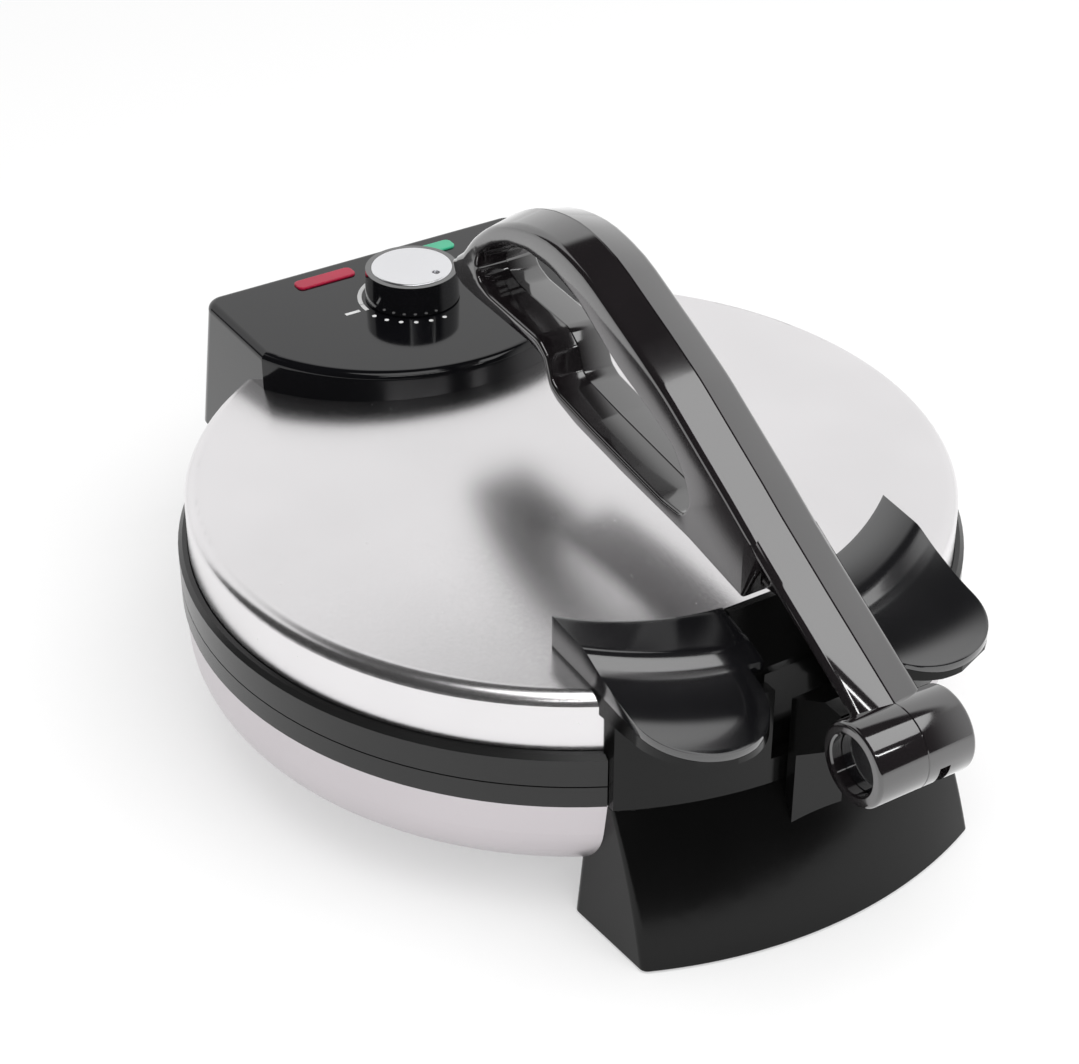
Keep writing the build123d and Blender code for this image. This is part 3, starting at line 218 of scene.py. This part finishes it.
def steel(name, colour, rough_low, rough_high, grain=0.00002):
    """Stainless steel with fine brushing."""
    material, tree, shader = new_material(name)
    shader.inputs["Metallic"].default_value = 1.0
    brush = noise(tree, BRUSH_SCALE, FINE_DETAIL)
    cloud = noise(tree, CLOUD_SCALE, BROAD_DETAIL)
    rough = range_map(tree, brush, rough_low, rough_high)
    colour_and_gloss(tree, shader, cloud, STEEL_STOPS, STEEL_SHADE, colour, rough)
    bump(tree, shader, brush, grain)
    return material


def make_materials():
    made = {name: plastic(name, *look) for name, look in PLASTICS.items()}
    made.update((name, steel(name, *look)) for name, look in STEELS.items())
    return made


# Pieces that look a little different from the rest of their slot.
LOOKS = {"front_foot": "foot_black", "rear_foot": "foot_black", "lower_ring": "ring_black",
         "upper_ring": "ring_black", "grip_body": "foot_black", "control_housing": "panel_black",
         "lower_shell": "shell_steel"}


def dress_nodes(materials):
    slots = {s["node"]: s["material_slot"] for s in frame["record"]["subparts"]}
    for name, piece in frame["nodes"].items():
        piece.data.materials.clear()
        piece.data.materials.append(materials[LOOKS.get(name, slots[name])])


# ---- Mesh helpers -----------------------------------------------------------------------------
def place(x, y, z):
    """A point in millimetres from the drum's axis and the table, in the frame's metres."""
    return (x * MM, y * MM + DRUM_Y, z * MM)


def rounded(corners):
    """A closed (y, z) outline with every corner turned into an arc. A corner is (y, z, radius, *extra); the
    extra values go with each point of its arc."""
    count = len(corners)
    out = []
    for k, corner in enumerate(corners):
        here = Vector(corner[:2])
        radius = corner[2]
        extra = tuple(corner[3:])
        if radius <= 0:
            out.append((here.x, here.y, *extra))
            continue
        back = Vector(corners[k - 1][:2]) - here
        ahead = Vector(corners[(k + 1) % count][:2]) - here
        turn = math.pi - back.angle(ahead)
        if turn < FLAT_TURN:
            out.append((here.x, here.y, *extra))
            continue
        shorter = min(back.length, ahead.length)
        reach = min(radius * math.tan(turn / 2), shorter * ARC_REACH)
        start = here + back.normalized() * reach
        end = here + ahead.normalized() * reach
        steps = max(2, math.ceil(math.degrees(turn) / ARC_STEP))
        for i in range(steps + 1):
            t = i / steps
            point = start * (1 - t) ** 2 + here * 2 * t * (1 - t) + end * t ** 2
            out.append((point.x, point.y, *extra))
    return out


def right_normals(loop):
    """Unit normals to the right of a closed loop's direction, with the mitre's length."""
    out = []
    count = len(loop)
    for k in range(count):
        here = Vector(loop[k][:2])
        before = (here - Vector(loop[k - 1][:2])).normalized()
        after = (Vector(loop[(k + 1) % count][:2]) - here).normalized()
        side = Vector((before.y + after.y, -before.x - after.x)).normalized()
        cosine = max(0.5, side.dot(Vector((before.y, -before.x))))
        out.append(side / cosine)
    return out


def build(name, vertices, faces, material, body, stands_for=()):
    """A mesh piece from millimetre points, riding on its body."""
    mesh = bpy.data.meshes.new(name)
    mesh.from_pydata([place(*v) for v in vertices], [], faces)
    piece = bpy.data.objects.new(name, mesh)
    bpy.context.scene.collection.objects.link(piece)
    form = bmesh.new()
    form.from_mesh(mesh)
    bmesh.ops.remove_doubles(form, verts=form.verts, dist=WELD)
    bmesh.ops.recalc_face_normals(form, faces=form.faces)
    form.to_mesh(mesh)
    form.free()
    mesh.materials.append(material)
    soften(mesh)
    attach(piece, body)
    if stands_for:
        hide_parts(*stands_for)
    return piece


def soften(mesh):
    """Smooth shading, with edges over the sharp angle kept crisp."""
    mesh.polygons.foreach_set("use_smooth", [True] * len(mesh.polygons))
    mesh.set_sharp_from_angle(angle=math.radians(SHARP))


# ---- Lever ------------------------------------------------------------------------------------
ARM_HALF = 12.5
ROOF_DROP = 2.4       # the roof falls this much from the seam to the sides
ROOF_EDGE = 2.3       # rounding between the roof and the sides
SIDE_EDGE = 1.1       # rounding of the other side edges
SEAM = 0.3            # depth and half width of the groove between the two halves
DRAFT = 0.7           # the window is this much narrower at the seam
WEB_HALF = 7.5
STRIP_T = 5.6         # height of the thin stretch in front of the deep part
BARREL_R = 13.9
BARREL_HALF = 18.2
RECESS_R = 9.8
RECESS_DEPTH = 5.0
RIM_EDGE = 1.4        # rounding of the barrel's rim
RECESS_FLARE = 0.6    # widening of the recess at its mouth
RECESS_BEVEL = 0.5    # depth of that widening
SLOT_IN = 4.4
SLOT_OUT = 8.4
EYE_ROOM_R = 9.6
BORE_R = 4.55
SLOT_FROM_DEG = 186.0
SLOT_TO_DEG = 388.0
SLOT_STEPS = 40
SLOT_UNDER = 0.2      # the slot's cutter reaches past both sides of the barrel's wall
SLOT_OVER = 2
SCREW_SPOTS = ((-104.0, 123.95), (-57.1, 159.35), (-15.0, 177.75), (50.3, 147.35))
SCREW_SINK = 2.0
SEAT_OVER = 1         # the seats' cutter stands out from the side
SEAT_R = 3.1
SEAT_STEPS = 32


def lever_halves(materials):
    """Two moulded halves, each with a deep arched part, a thin stretch, a web and half a barrel."""
    top = (ROOF_DROP, ROOF_EDGE)
    low = (0.0, SIDE_EDGE)
    deep = [
        (-130.0, 127.9, 0, *top), (-119.4, 134.3, 60, *top), (-108.2, 141.2, 90, *top),
        (-74.3, 161.0, 90, *top), (-57.3, 169.0, 60, *top), (-26.5, 182.6, 60, *top),
        (-6.4, 186.2, 60, *top), (11.3, 183.6, 60, *top), (23.4, 179.2, 60, *top),
        (35.9, 172.4, 60, *top), (46.8, 163.4, 40, *top), (54.0, 154.8, 20, *top),
        (57.6, 150.0, 4, 1.2, 1.6), (58.8, 146.6, 3, *low), (57.0, 142.7, 3, *low),
        (52.0, 140.6, 5, *low), (43.0, 139.7, 20, *low), (8.0, 138.6, 12, *low),
        (-0.4, 137.2, 4, *low), (-5.5, 127.0, 5, *low), (-10.0, 124.3, 8, *low),
        (-21.6, 121.2, 30, *low), (-50.8, 117.2, 60, *low), (-88.0, 113.2, 0, *low),
        (-117.5, 107.7, 1.5, *low),
    ]
    window = [
        (-84.5, 119.9, 5), (-72.7, 119.6, 20), (-29.5, 125.2, 30), (-11.0, 128.2, 8),
        (-6.6, 130.6, 4), (-3.2, 139.0, 5), (2.0, 142.8, 8), (34.0, 144.7, 10),
        (41.0, 147.2, 5), (43.2, 151.5, 5), (41.6, 156.6, 8), (32.5, 164.4, 20),
        (22.7, 169.5, 20), (10.0, 172.6, 20), (-6.0, 172.4, 30), (-22.0, 168.6, 40),
        (-46.6, 155.0, 60), (-65.1, 148.2, 40), (-77.6, 142.4, 12), (-84.8, 133.6, 10),
        (-87.8, 126.6, 5),
    ]
    strip = [
        (-178.0, 101.2, 0, *top), (-142.6, 121.0, 0, *top), (-119.4, 134.3, 0, *top),
        (-119.4, 134.3 - STRIP_T, 0, *low), (-142.6, 121.0 - STRIP_T, 0, *low),
        (-178.0, 101.2 - STRIP_T, 0, *low),
    ]
    web = [
        (-172.0, 102.0, 0, *low), (-119.0, 131.0, 0, *low), (-119.0, 112.0, 0, *low),
        (-128.0, 113.0, 6, *low), (-145.0, 107.0, 6, *low), (-163.0, 97.6, 4, *low),
        (-170.0, 91.0, 0, *low),
    ]
    for sign, name in ((1, "right"), (-1, "left")):
        vertices = []
        faces = []
        parts = (
            (rounded(deep), rounded([(y, z, r, 0.0, SIDE_EDGE) for y, z, r in window]), ARM_HALF),
            (rounded(strip), None, ARM_HALF),
            (rounded(web), None, WEB_HALF),
        )
        for loop, hole, half in parts:
            add_slab(vertices, faces, loop, hole, half, sign)
        add_barrel(vertices, faces, sign)
        piece = build(f"lever_{name}_half", vertices, faces, materials["lever_black"], "lever",
                      (f"lever_{name}_shell",))
        fill_caps(piece)
        if sign > 0:
            cut_slot(piece)
            cut_screw_seats(piece)


def slab_layers(loop, half, hole):
    """Layers (x, points) of half a slab, from the seam out to its rounded side."""
    normals = right_normals(loop)

    def layer(angle):
        points = []
        for (y, z, drop, edge), normal in zip(loop, normals):
            x = half - edge + edge * math.sin(angle)
            lean = -DRAFT * (1 - x / half) if hole else drop * x / half
            inset = edge * (1 - math.cos(angle)) + lean
            points.append((x, y + normal.x * inset, z + normal.y * inset))
        return points

    seam_points = []
    groove_points = []
    base = -DRAFT if hole else 0.0
    for (y, z, _, _), normal in zip(loop, normals):
        seam_points.append((0.0, y + normal.x * (base + SEAM), z + normal.y * (base + SEAM)))
        groove_points.append((SEAM, y + normal.x * base, z + normal.y * base))
    sides = [layer(math.pi / 2 * k / EDGE_STEPS) for k in range(EDGE_STEPS + 1)]
    return [seam_points, groove_points, *sides]


def add_slab(vertices, faces, loop, hole, half, sign):
    """Side walls of half a slab; its two flat ends are filled later from their open loops."""
    for points, is_hole in ((loop, False), (hole, True)):
        if points is None:
            continue
        start = len(vertices)
        count = len(points)
        layers = slab_layers(points, half, is_hole)
        for layer in layers:
            vertices.extend((sign * x, y, z) for x, y, z in layer)
        for row in range(len(layers) - 1):
            for k in range(count):
                a = start + row * count + k
                b = start + row * count + (k + 1) % count
                faces.append((a, b, b + count, a + count))


def about_pivot(x, radius, angle):
    """A point at an angle and a distance round the lever's pivot."""
    return (x, PIVOT_Y + radius * math.cos(angle), PIVOT_Z + radius * math.sin(angle))


def turned(profile, sign):
    """Points and faces of a closed profile of (x, radius) turned about the lever's pivot."""
    count = ROUND_STEPS
    vertices = []
    faces = []
    for x, radius in profile:
        for k in range(count):
            vertices.append(about_pivot(sign * x, radius, 2 * math.pi * k / count))
    rows = len(profile)
    for row in range(rows):
        nxt = (row + 1) % rows
        for k in range(count):
            after = (k + 1) % count
            faces.append((row * count + k, row * count + after, nxt * count + after, nxt * count + k))
    return vertices, faces


def add_barrel(vertices, faces, sign):
    """Half of the pivot barrel: rounded rim, recessed end, bore and room for the eye."""
    turns = [math.pi / 2 * k / EDGE_STEPS for k in range(EDGE_STEPS + 1)]
    edge = [(BARREL_HALF - RIM_EDGE + RIM_EDGE * math.sin(a), BARREL_R - RIM_EDGE + RIM_EDGE * math.cos(a))
            for a in turns]
    floor_x = BARREL_HALF - RECESS_DEPTH
    profile = [(0.0, BARREL_R - SEAM), (SEAM, BARREL_R), *edge, (BARREL_HALF, RECESS_R + RECESS_FLARE),
               (BARREL_HALF - RECESS_BEVEL, RECESS_R), (floor_x, RECESS_R), (floor_x, BORE_R)]
    if sign > 0:
        profile += [(SLOT_OUT, BORE_R), (SLOT_OUT, EYE_ROOM_R), (SLOT_IN, EYE_ROOM_R), (SLOT_IN, BORE_R)]
    profile.append((0.0, BORE_R))
    more, loops = turned(profile, sign)
    start = len(vertices)
    vertices.extend(more)
    faces.extend(tuple(start + k for k in face) for face in loops)


def fill_caps(piece):
    """Fills the flat ends left open by add_slab."""
    form = bmesh.new()
    form.from_mesh(piece.data)
    open_edges = [e for e in form.edges if e.is_boundary]
    planes = {}
    for edge in open_edges:
        planes.setdefault(round(edge.verts[0].co.x / MM, 2), []).append(edge)
    for edges in planes.values():
        for group in connected(edges):
            bmesh.ops.triangle_fill(form, use_beauty=True, use_dissolve=False, edges=group)
    bmesh.ops.recalc_face_normals(form, faces=form.faces)
    form.to_mesh(piece.data)
    form.free()
    soften(piece.data)


def connected(edges):
    """Groups of edges: each outer loop with the holes that lie inside it."""
    loops = []
    left = set(edges)
    while left:
        stack = [left.pop()]
        found = set(stack)
        while stack:
            edge = stack.pop()
            for vertex in edge.verts:
                for other in vertex.link_edges:
                    if other in left:
                        left.remove(other)
                        found.add(other)
                        stack.append(other)
        loops.append(found)
    loops.sort(key=loop_size, reverse=True)
    groups = []
    for loop in loops:
        home = next((g for g in groups if inside(loop, g[0])), None)
        if home:
            home.append(loop)
        else:
            groups.append([loop])
    return [[e for loop in group for e in loop] for group in groups]


def loop_box(loop):
    """Least and greatest y, then least and greatest z, of a loop of edges."""
    points = [v.co for e in loop for v in e.verts]
    across_y = [p.y for p in points]
    up_z = [p.z for p in points]
    return (min(across_y), max(across_y), min(up_z), max(up_z))


def loop_size(loop):
    y0, y1, z0, z1 = loop_box(loop)
    return (y1 - y0) * (z1 - z0)


def inside(small, large):
    a = loop_box(small)
    b = loop_box(large)
    return a[0] > b[0] and a[1] < b[1] and a[2] > b[2] and a[3] < b[3]


def cut_slot(piece):
    """Cuts the slot through the right half's barrel wall."""
    steps = SLOT_STEPS
    points = []
    for radius in (EYE_ROOM_R - SLOT_UNDER, BARREL_R + SLOT_OVER):
        for x in (SLOT_IN, SLOT_OUT):
            for k in range(steps + 1):
                angle = math.radians(SLOT_FROM_DEG + (SLOT_TO_DEG - SLOT_FROM_DEG) * k / steps)
                points.append(about_pivot(x, radius, angle))
    row = steps + 1
    faces = []
    for k in range(steps):
        faces.append((k, k + 1, row + k + 1, row + k))
        faces.append((2 * row + k, 2 * row + k + 1, 3 * row + k + 1, 3 * row + k))
        faces.append((k, k + 1, 2 * row + k + 1, 2 * row + k))
        faces.append((row + k, row + k + 1, 3 * row + k + 1, 3 * row + k))
    faces.append((0, row, 3 * row, 2 * row))
    faces.append((steps, row + steps, 3 * row + steps, 2 * row + steps))
    cut_away(piece, points, faces)


def cut_screw_seats(piece):
    """Cuts the round seats of the lever's screws into the right half's side."""
    vertices = []
    faces = []
    for y, z in SCREW_SPOTS:
        start = len(vertices)
        for x in (ARM_HALF - SCREW_SINK, ARM_HALF + SEAT_OVER):
            for k in range(SEAT_STEPS):
                turn = 2 * math.pi * k / SEAT_STEPS
                vertices.append((x, y + SEAT_R * math.cos(turn), z + SEAT_R * math.sin(turn)))
        faces.append(tuple(range(start, start + SEAT_STEPS)))
        faces.append(tuple(range(start + SEAT_STEPS, start + 2 * SEAT_STEPS)))
        for k in range(SEAT_STEPS):
            nxt = (k + 1) % SEAT_STEPS
            faces.append((start + k, start + nxt, start + SEAT_STEPS + nxt, start + SEAT_STEPS + k))
    cut_away(piece, vertices, faces)


def cut_away(piece, points, faces):
    """Takes a closed form, given in millimetres, away from the piece."""
    mesh = bpy.data.meshes.new("cutter")
    mesh.from_pydata([place(*p) for p in points], [], faces)
    form = bmesh.new()
    form.from_mesh(mesh)
    bmesh.ops.recalc_face_normals(form, faces=form.faces)
    form.to_mesh(mesh)
    form.free()
    tool = bpy.data.objects.new("cutter", mesh)
    bpy.context.scene.collection.objects.link(tool)
    cut = piece.modifiers.new("cut", "BOOLEAN")
    cut.operation = "DIFFERENCE"
    cut.solver = "EXACT"
    cut.use_self = True
    cut.object = tool
    apply_modifiers(piece)
    bpy.data.objects.remove(tool)


def apply_modifiers(piece):
    bpy.context.view_layer.update()
    graph = bpy.context.evaluated_depsgraph_get()
    mesh = bpy.data.meshes.new_from_object(piece.evaluated_get(graph))
    piece.modifiers.clear()
    piece.data = mesh
    soften(mesh)


# ---- Grips on the lid's front -----------------------------------------------------------------
GRIP_HALF = 65.0
GRIP_INNER = 14.6
LIP_INNER = 20.5
LIP_ROUND = (GRIP_HALF - LIP_INNER) / 2
LIP_FRONT = -160.0
EDGE_R = 111.5
CREASE_R = 127.0
FOLD_R = 134.0
LIP_R = 166.2
RADII = (EDGE_R, CREASE_R, FOLD_R, LIP_R)
# Distance from the middle, then the heights at the rear edge, crease, fold and lip.
TOP = ((GRIP_INNER, 101.0, 97.2, 94.2, 88.4), (36.0, 101.4, 98.8, 95.6, 88.6),
       (GRIP_HALF, 104.7, 103.2, 99.4, 91.5))
SEAM_Z = ((GRIP_INNER, 93.2, 91.6, 90.8, 85.6), (36.0, 93.2, 91.8, 91.2, 85.8),
          (GRIP_HALF, 93.4, 92.4, 91.8, 88.7))
SCOOP_SAG = 1.8       # the lip's hollow, below a straight line
BLEND = 1.1           # the scoop's folds are rounded over this distance
BLEND_STEPS = (-1.0, -0.5, 0.0, 0.5, 1.0)
INNER_STEPS = 4
LIP_STEPS = 40
BACK_STEPS = 24
FRONT_STEPS = 24
COVER_EDGE = 0.9      # rounding of the cover's edges
COVER_EDGE_DEG = 50
BEVEL_SEGMENTS = 3


def lerp_table(table, x):
    """Value at x of a table of (x, value), with straight lines between its rows."""
    for (x0, y0), (x1, y1) in zip(table, table[1:]):
        if x <= x1:
            return y0 + (y1 - y0) * max(0.0, (x - x0) / (x1 - x0))
    return table[-1][1]


def across(x, column):
    """A top height at distance x from the middle, on the parabola through the three rows."""
    total = 0.0
    for i, near in enumerate(TOP):
        share = 1.0
        for j, other in enumerate(TOP):
            if i != j:
                share *= (x - other[0]) / (near[0] - other[0])
        total += share * near[column]
    return total


def scoop_z(x, radius):
    """Height of a grip's top at distance x from the middle and a radius from the drum's axis."""
    table = [(r, across(x, k + 1)) for k, r in enumerate(RADII)]
    height = sum(lerp_table(table, radius + BLEND * s) for s in BLEND_STEPS) / len(BLEND_STEPS)
    if radius > FOLD_R:
        height -= SCOOP_SAG * math.sin(math.pi * (radius - FOLD_R) / (LIP_R - FOLD_R))
    return height


def seam_z(x, radius):
    """Height of the seam between cover and body at the same place."""
    table = [(r, lerp_table([(row[0], row[k + 1]) for row in SEAM_Z], x)) for k, r in enumerate(RADII)]
    return lerp_table(table, radius)


def grip_cover(materials, sign, name):
    """One scooped cover: a plate with a raised rear edge, a crease, a fold and a rounded lip."""
    inner = [GRIP_INNER + (LIP_INNER - GRIP_INNER) * k / INNER_STEPS for k in range(INNER_STEPS)]
    lip = [LIP_INNER + LIP_ROUND * (1 - math.cos(math.pi * k / LIP_STEPS)) for k in range(LIP_STEPS + 1)]
    columns = inner + lip
    back = [EDGE_R + (FOLD_R - EDGE_R) * k / BACK_STEPS for k in range(BACK_STEPS + 1)]
    vertices = []
    index = {}

    def add(key, x, y):
        radius = math.hypot(x, y)
        index[(*key, 0)] = len(vertices)
        vertices.append((sign * x, y, scoop_z(x, radius)))
        index[(*key, 1)] = len(vertices)
        vertices.append((sign * x, y, seam_z(x, radius)))

    for i, x in enumerate(columns):
        for j, radius in enumerate(back):
            add((i, j), x, -math.sqrt(radius ** 2 - x ** 2))
        if i < len(inner):
            continue
        fold_y = -math.sqrt(FOLD_R ** 2 - x ** 2)
        off = x - LIP_INNER - LIP_ROUND
        end_y = LIP_FRONT + LIP_ROUND - math.sqrt(max(0.0, LIP_ROUND ** 2 - off ** 2))
        for k in range(1, FRONT_STEPS + 1):
            add((i, BACK_STEPS + k), x, fold_y + (end_y - fold_y) * k / FRONT_STEPS)
    faces = []
    edges = {}
    for i in range(len(columns) - 1):
        for j in range(BACK_STEPS + FRONT_STEPS):
            corners = [(i, j), (i + 1, j), (i + 1, j + 1), (i, j + 1)]
            if any((a, b, 0) not in index for a, b in corners):
                continue
            for face in (0, 1):
                faces.append(tuple(index[(a, b, face)] for a, b in corners))
            for k in range(4):
                pair = (corners[k], corners[(k + 1) % 4])
                edges[frozenset(pair)] = None if frozenset(pair) in edges else pair
    for pair in edges.values():
        if pair:
            (a, b), (c, d) = pair
            faces.append((index[(a, b, 0)], index[(c, d, 0)], index[(c, d, 1)], index[(a, b, 1)]))
    piece = build(f"{name}_grip_top", vertices, faces, materials["gloss_black"], "lid",
                  (f"{name}_grip_cover",))
    round_edges(piece)


def round_edges(piece):
    """Rounds the sharp edges of a grip's cover."""
    edge = piece.modifiers.new("edges", "BEVEL")
    edge.width = COVER_EDGE * MM
    edge.segments = BEVEL_SEGMENTS
    edge.limit_method = "ANGLE"
    edge.angle_limit = math.radians(COVER_EDGE_DEG)
    edge.use_clamp_overlap = True
    apply_modifiers(piece)


# ---- Printed marks round the knob -------------------------------------------------------------
MARK_T = 0.06
DOT_R = 0.85
DOT_RING_R = 21.0
DOT_FROM_DEG = 198.0
DOT_STEP_DEG = 15.4
DOT_COUNT = 6
DOT_SIDES = 20
ARC_R = 20.0
ARC_W = 1.6
ARC_FROM_DEG = 117.0
ARC_TO_DEG = 183.0
ARC_PARTS = 24
DASH_FROM = 22.6
DASH_TO = 28.6


def prism(vertices, faces, outline, low, high):
    """Adds a closed upright prism over an (x, y) outline."""
    start = len(vertices)
    count = len(outline)
    for z in (low, high):
        vertices.extend((x, y, z) for x, y in outline)
    faces.append(tuple(range(start, start + count)))
    faces.append(tuple(range(start + count, start + 2 * count)))
    for k in range(count):
        nxt = (k + 1) % count
        faces.append((start + k, start + nxt, start + count + nxt, start + count + k))


def about_knob(radius, turn):
    return (radius * math.cos(turn), KNOB_Y + radius * math.sin(turn))


def panel_marks(materials):
    """White dots, an arc and a dash, printed on the panel round the knob."""
    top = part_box("control_housing")[1].z / MM
    half = ARC_W / 2
    outlines = []
    for k in range(DOT_COUNT):
        x, y = about_knob(DOT_RING_R, math.radians(DOT_FROM_DEG + DOT_STEP_DEG * k))
        turns = [2 * math.pi * i / DOT_SIDES for i in range(DOT_SIDES)]
        outlines.append([(x + DOT_R * math.cos(a), y + DOT_R * math.sin(a)) for a in turns])
    span = ARC_TO_DEG - ARC_FROM_DEG
    turns = [math.radians(ARC_FROM_DEG + span * k / ARC_PARTS) for k in range(ARC_PARTS + 1)]
    for a, b in zip(turns, turns[1:]):
        outlines.append([about_knob(ARC_R + half, a), about_knob(ARC_R + half, b),
                         about_knob(ARC_R - half, b), about_knob(ARC_R - half, a)])
    outlines.append([(-DASH_TO, KNOB_Y - half), (-DASH_FROM, KNOB_Y - half),
                     (-DASH_FROM, KNOB_Y + half), (-DASH_TO, KNOB_Y + half)])
    vertices = []
    faces = []
    for outline in outlines:
        prism(vertices, faces, outline, top - MARK_T, top + MARK_T)
    build("panel_marks", vertices, faces, materials["print_white"], "lid")


# ---- Stage and light --------------------------------------------------------------------------
WHITE = (1, 1, 1, 1)
FULL = 1.0            # strength at which a white background shows as white
DARK_STUDIO = 0.03
SOFT_LIGHT = 0.78
FLOOR_GLOW = 0.4      # share of the floor's white that no shadow takes away
FLOOR_SIZE = 6.0      # metres from the middle to each side
FLOOR_ROUGHNESS = 0.9

# Where the pale walls of the reflected studio begin and end, as parts of a direction.
WALL_TOP = (0.80, 0.74)
BACK_WALL = (-0.35, 0.05)
BACK_WALL_LEFT = (-0.60, -0.53)
RIGHT_WALL = (0.55, 0.75)

# Name, place, the point it faces, width, height and power.
LAMPS = (
    ("softbox", (0.15, -0.52, 1.3), (0.15, -0.52, 0), 1.5, 0.89, 9.5),
    ("tube", (-0.1, -1.15, 1.1), (0, 0, 0.1), 1.6, 0.06, 3),
)


def add_floor():
    mesh = bpy.data.meshes.new("floor")
    signs = ((-1, -1), (1, -1), (1, 1), (-1, 1))
    mesh.from_pydata([(x * FLOOR_SIZE, y * FLOOR_SIZE, 0) for x, y in signs], [], [(0, 1, 2, 3)])
    floor = bpy.data.objects.new("floor", mesh)
    bpy.context.scene.collection.objects.link(floor)
    material, tree, shader = new_material("floor_white")
    shader.inputs["Base Color"].default_value = WHITE
    shader.inputs["Roughness"].default_value = FLOOR_ROUGHNESS
    shader.inputs["Specular IOR Level"].default_value = 0.0
    glow = node(tree, "ShaderNodeEmission")
    glow.inputs["Strength"].default_value = FULL
    mix = node(tree, "ShaderNodeMixShader")
    mix.inputs["Fac"].default_value = FLOOR_GLOW
    tree.links.new(shader.outputs["BSDF"], mix.inputs[1])
    tree.links.new(glow.outputs["Emission"], mix.inputs[2])
    tree.links.new(mix.outputs["Shader"], tree.nodes["Material Output"].inputs["Surface"])
    mesh.materials.append(material)


def add_lamp(name, at, target, width, height, power):
    data = bpy.data.lights.new(name, "AREA")
    data.shape = "RECTANGLE"
    data.size = width
    data.size_y = height
    data.energy = power
    lamp = bpy.data.objects.new(name, data)
    bpy.context.scene.collection.objects.link(lamp)
    lamp.location = at
    lamp.rotation_euler = (Vector(target) - Vector(at)).to_track_quat("-Z", "Y").to_euler()


def add_world():
    """White for the camera. In reflections a studio: pale walls behind and to the right, a dark
    ceiling, a dark front and a dark left. Everything else gets an even soft light."""
    world = bpy.data.worlds.new("studio")
    bpy.context.scene.world = world
    world.use_nodes = True
    tree = world.node_tree
    tree.nodes.clear()
    out = node(tree, "ShaderNodeOutputWorld")
    paths = node(tree, "ShaderNodeLightPath")
    direction = node(tree, "ShaderNodeTexCoord")
    parts = node(tree, "ShaderNodeSeparateXYZ")
    tree.links.new(direction.outputs["Generated"], parts.inputs[0])

    def smooth(axis, start, end):
        made = node(tree, "ShaderNodeMapRange", interpolation_type="SMOOTHSTEP")
        made.inputs["From Min"].default_value = start
        made.inputs["From Max"].default_value = end
        tree.links.new(parts.outputs[axis], made.inputs["Value"])
        return made.outputs["Result"]

    def combine(operation, a, b):
        made = node(tree, "ShaderNodeMath", operation=operation)
        for socket, value in zip(made.inputs, (a, b)):
            if isinstance(value, (int, float)):
                socket.default_value = value
            else:
                tree.links.new(value, socket)
        return made.outputs[0]

    below = smooth("Z", *WALL_TOP)
    behind = combine("MULTIPLY", smooth("Y", *BACK_WALL), smooth("X", *BACK_WALL_LEFT))
    right = smooth("X", *RIGHT_WALL)
    walls = combine("MULTIPLY", below, combine("MAXIMUM", behind, right))
    reflected = combine("ADD", DARK_STUDIO, combine("MULTIPLY", walls, 1 - DARK_STUDIO))

    def background(strength):
        made = node(tree, "ShaderNodeBackground")
        made.inputs["Color"].default_value = WHITE
        if isinstance(strength, (int, float)):
            made.inputs["Strength"].default_value = strength
        else:
            tree.links.new(strength, made.inputs["Strength"])
        return made.outputs[0]

    def choose(ray, otherwise, chosen):
        made = node(tree, "ShaderNodeMixShader")
        tree.links.new(paths.outputs[ray], made.inputs["Fac"])
        tree.links.new(otherwise, made.inputs[1])
        tree.links.new(chosen, made.inputs[2])
        return made.outputs[0]

    shown = choose("Is Glossy Ray", background(SOFT_LIGHT), background(reflected))
    shown = choose("Is Transmission Ray", shown, background(FULL))
    shown = choose("Is Camera Ray", shown, background(FULL))
    tree.links.new(shown, out.inputs["Surface"])


def main():
    add_camera()
    materials = make_materials()
    dress_nodes(materials)
    lever_halves(materials)
    grip_cover(materials, 1, "right")
    grip_cover(materials, -1, "left")
    panel_marks(materials)
    add_floor()
    add_world()
    for lamp in LAMPS:
        add_lamp(*lamp)
    bpy.context.scene.view_settings.view_transform = "Standard"


main()
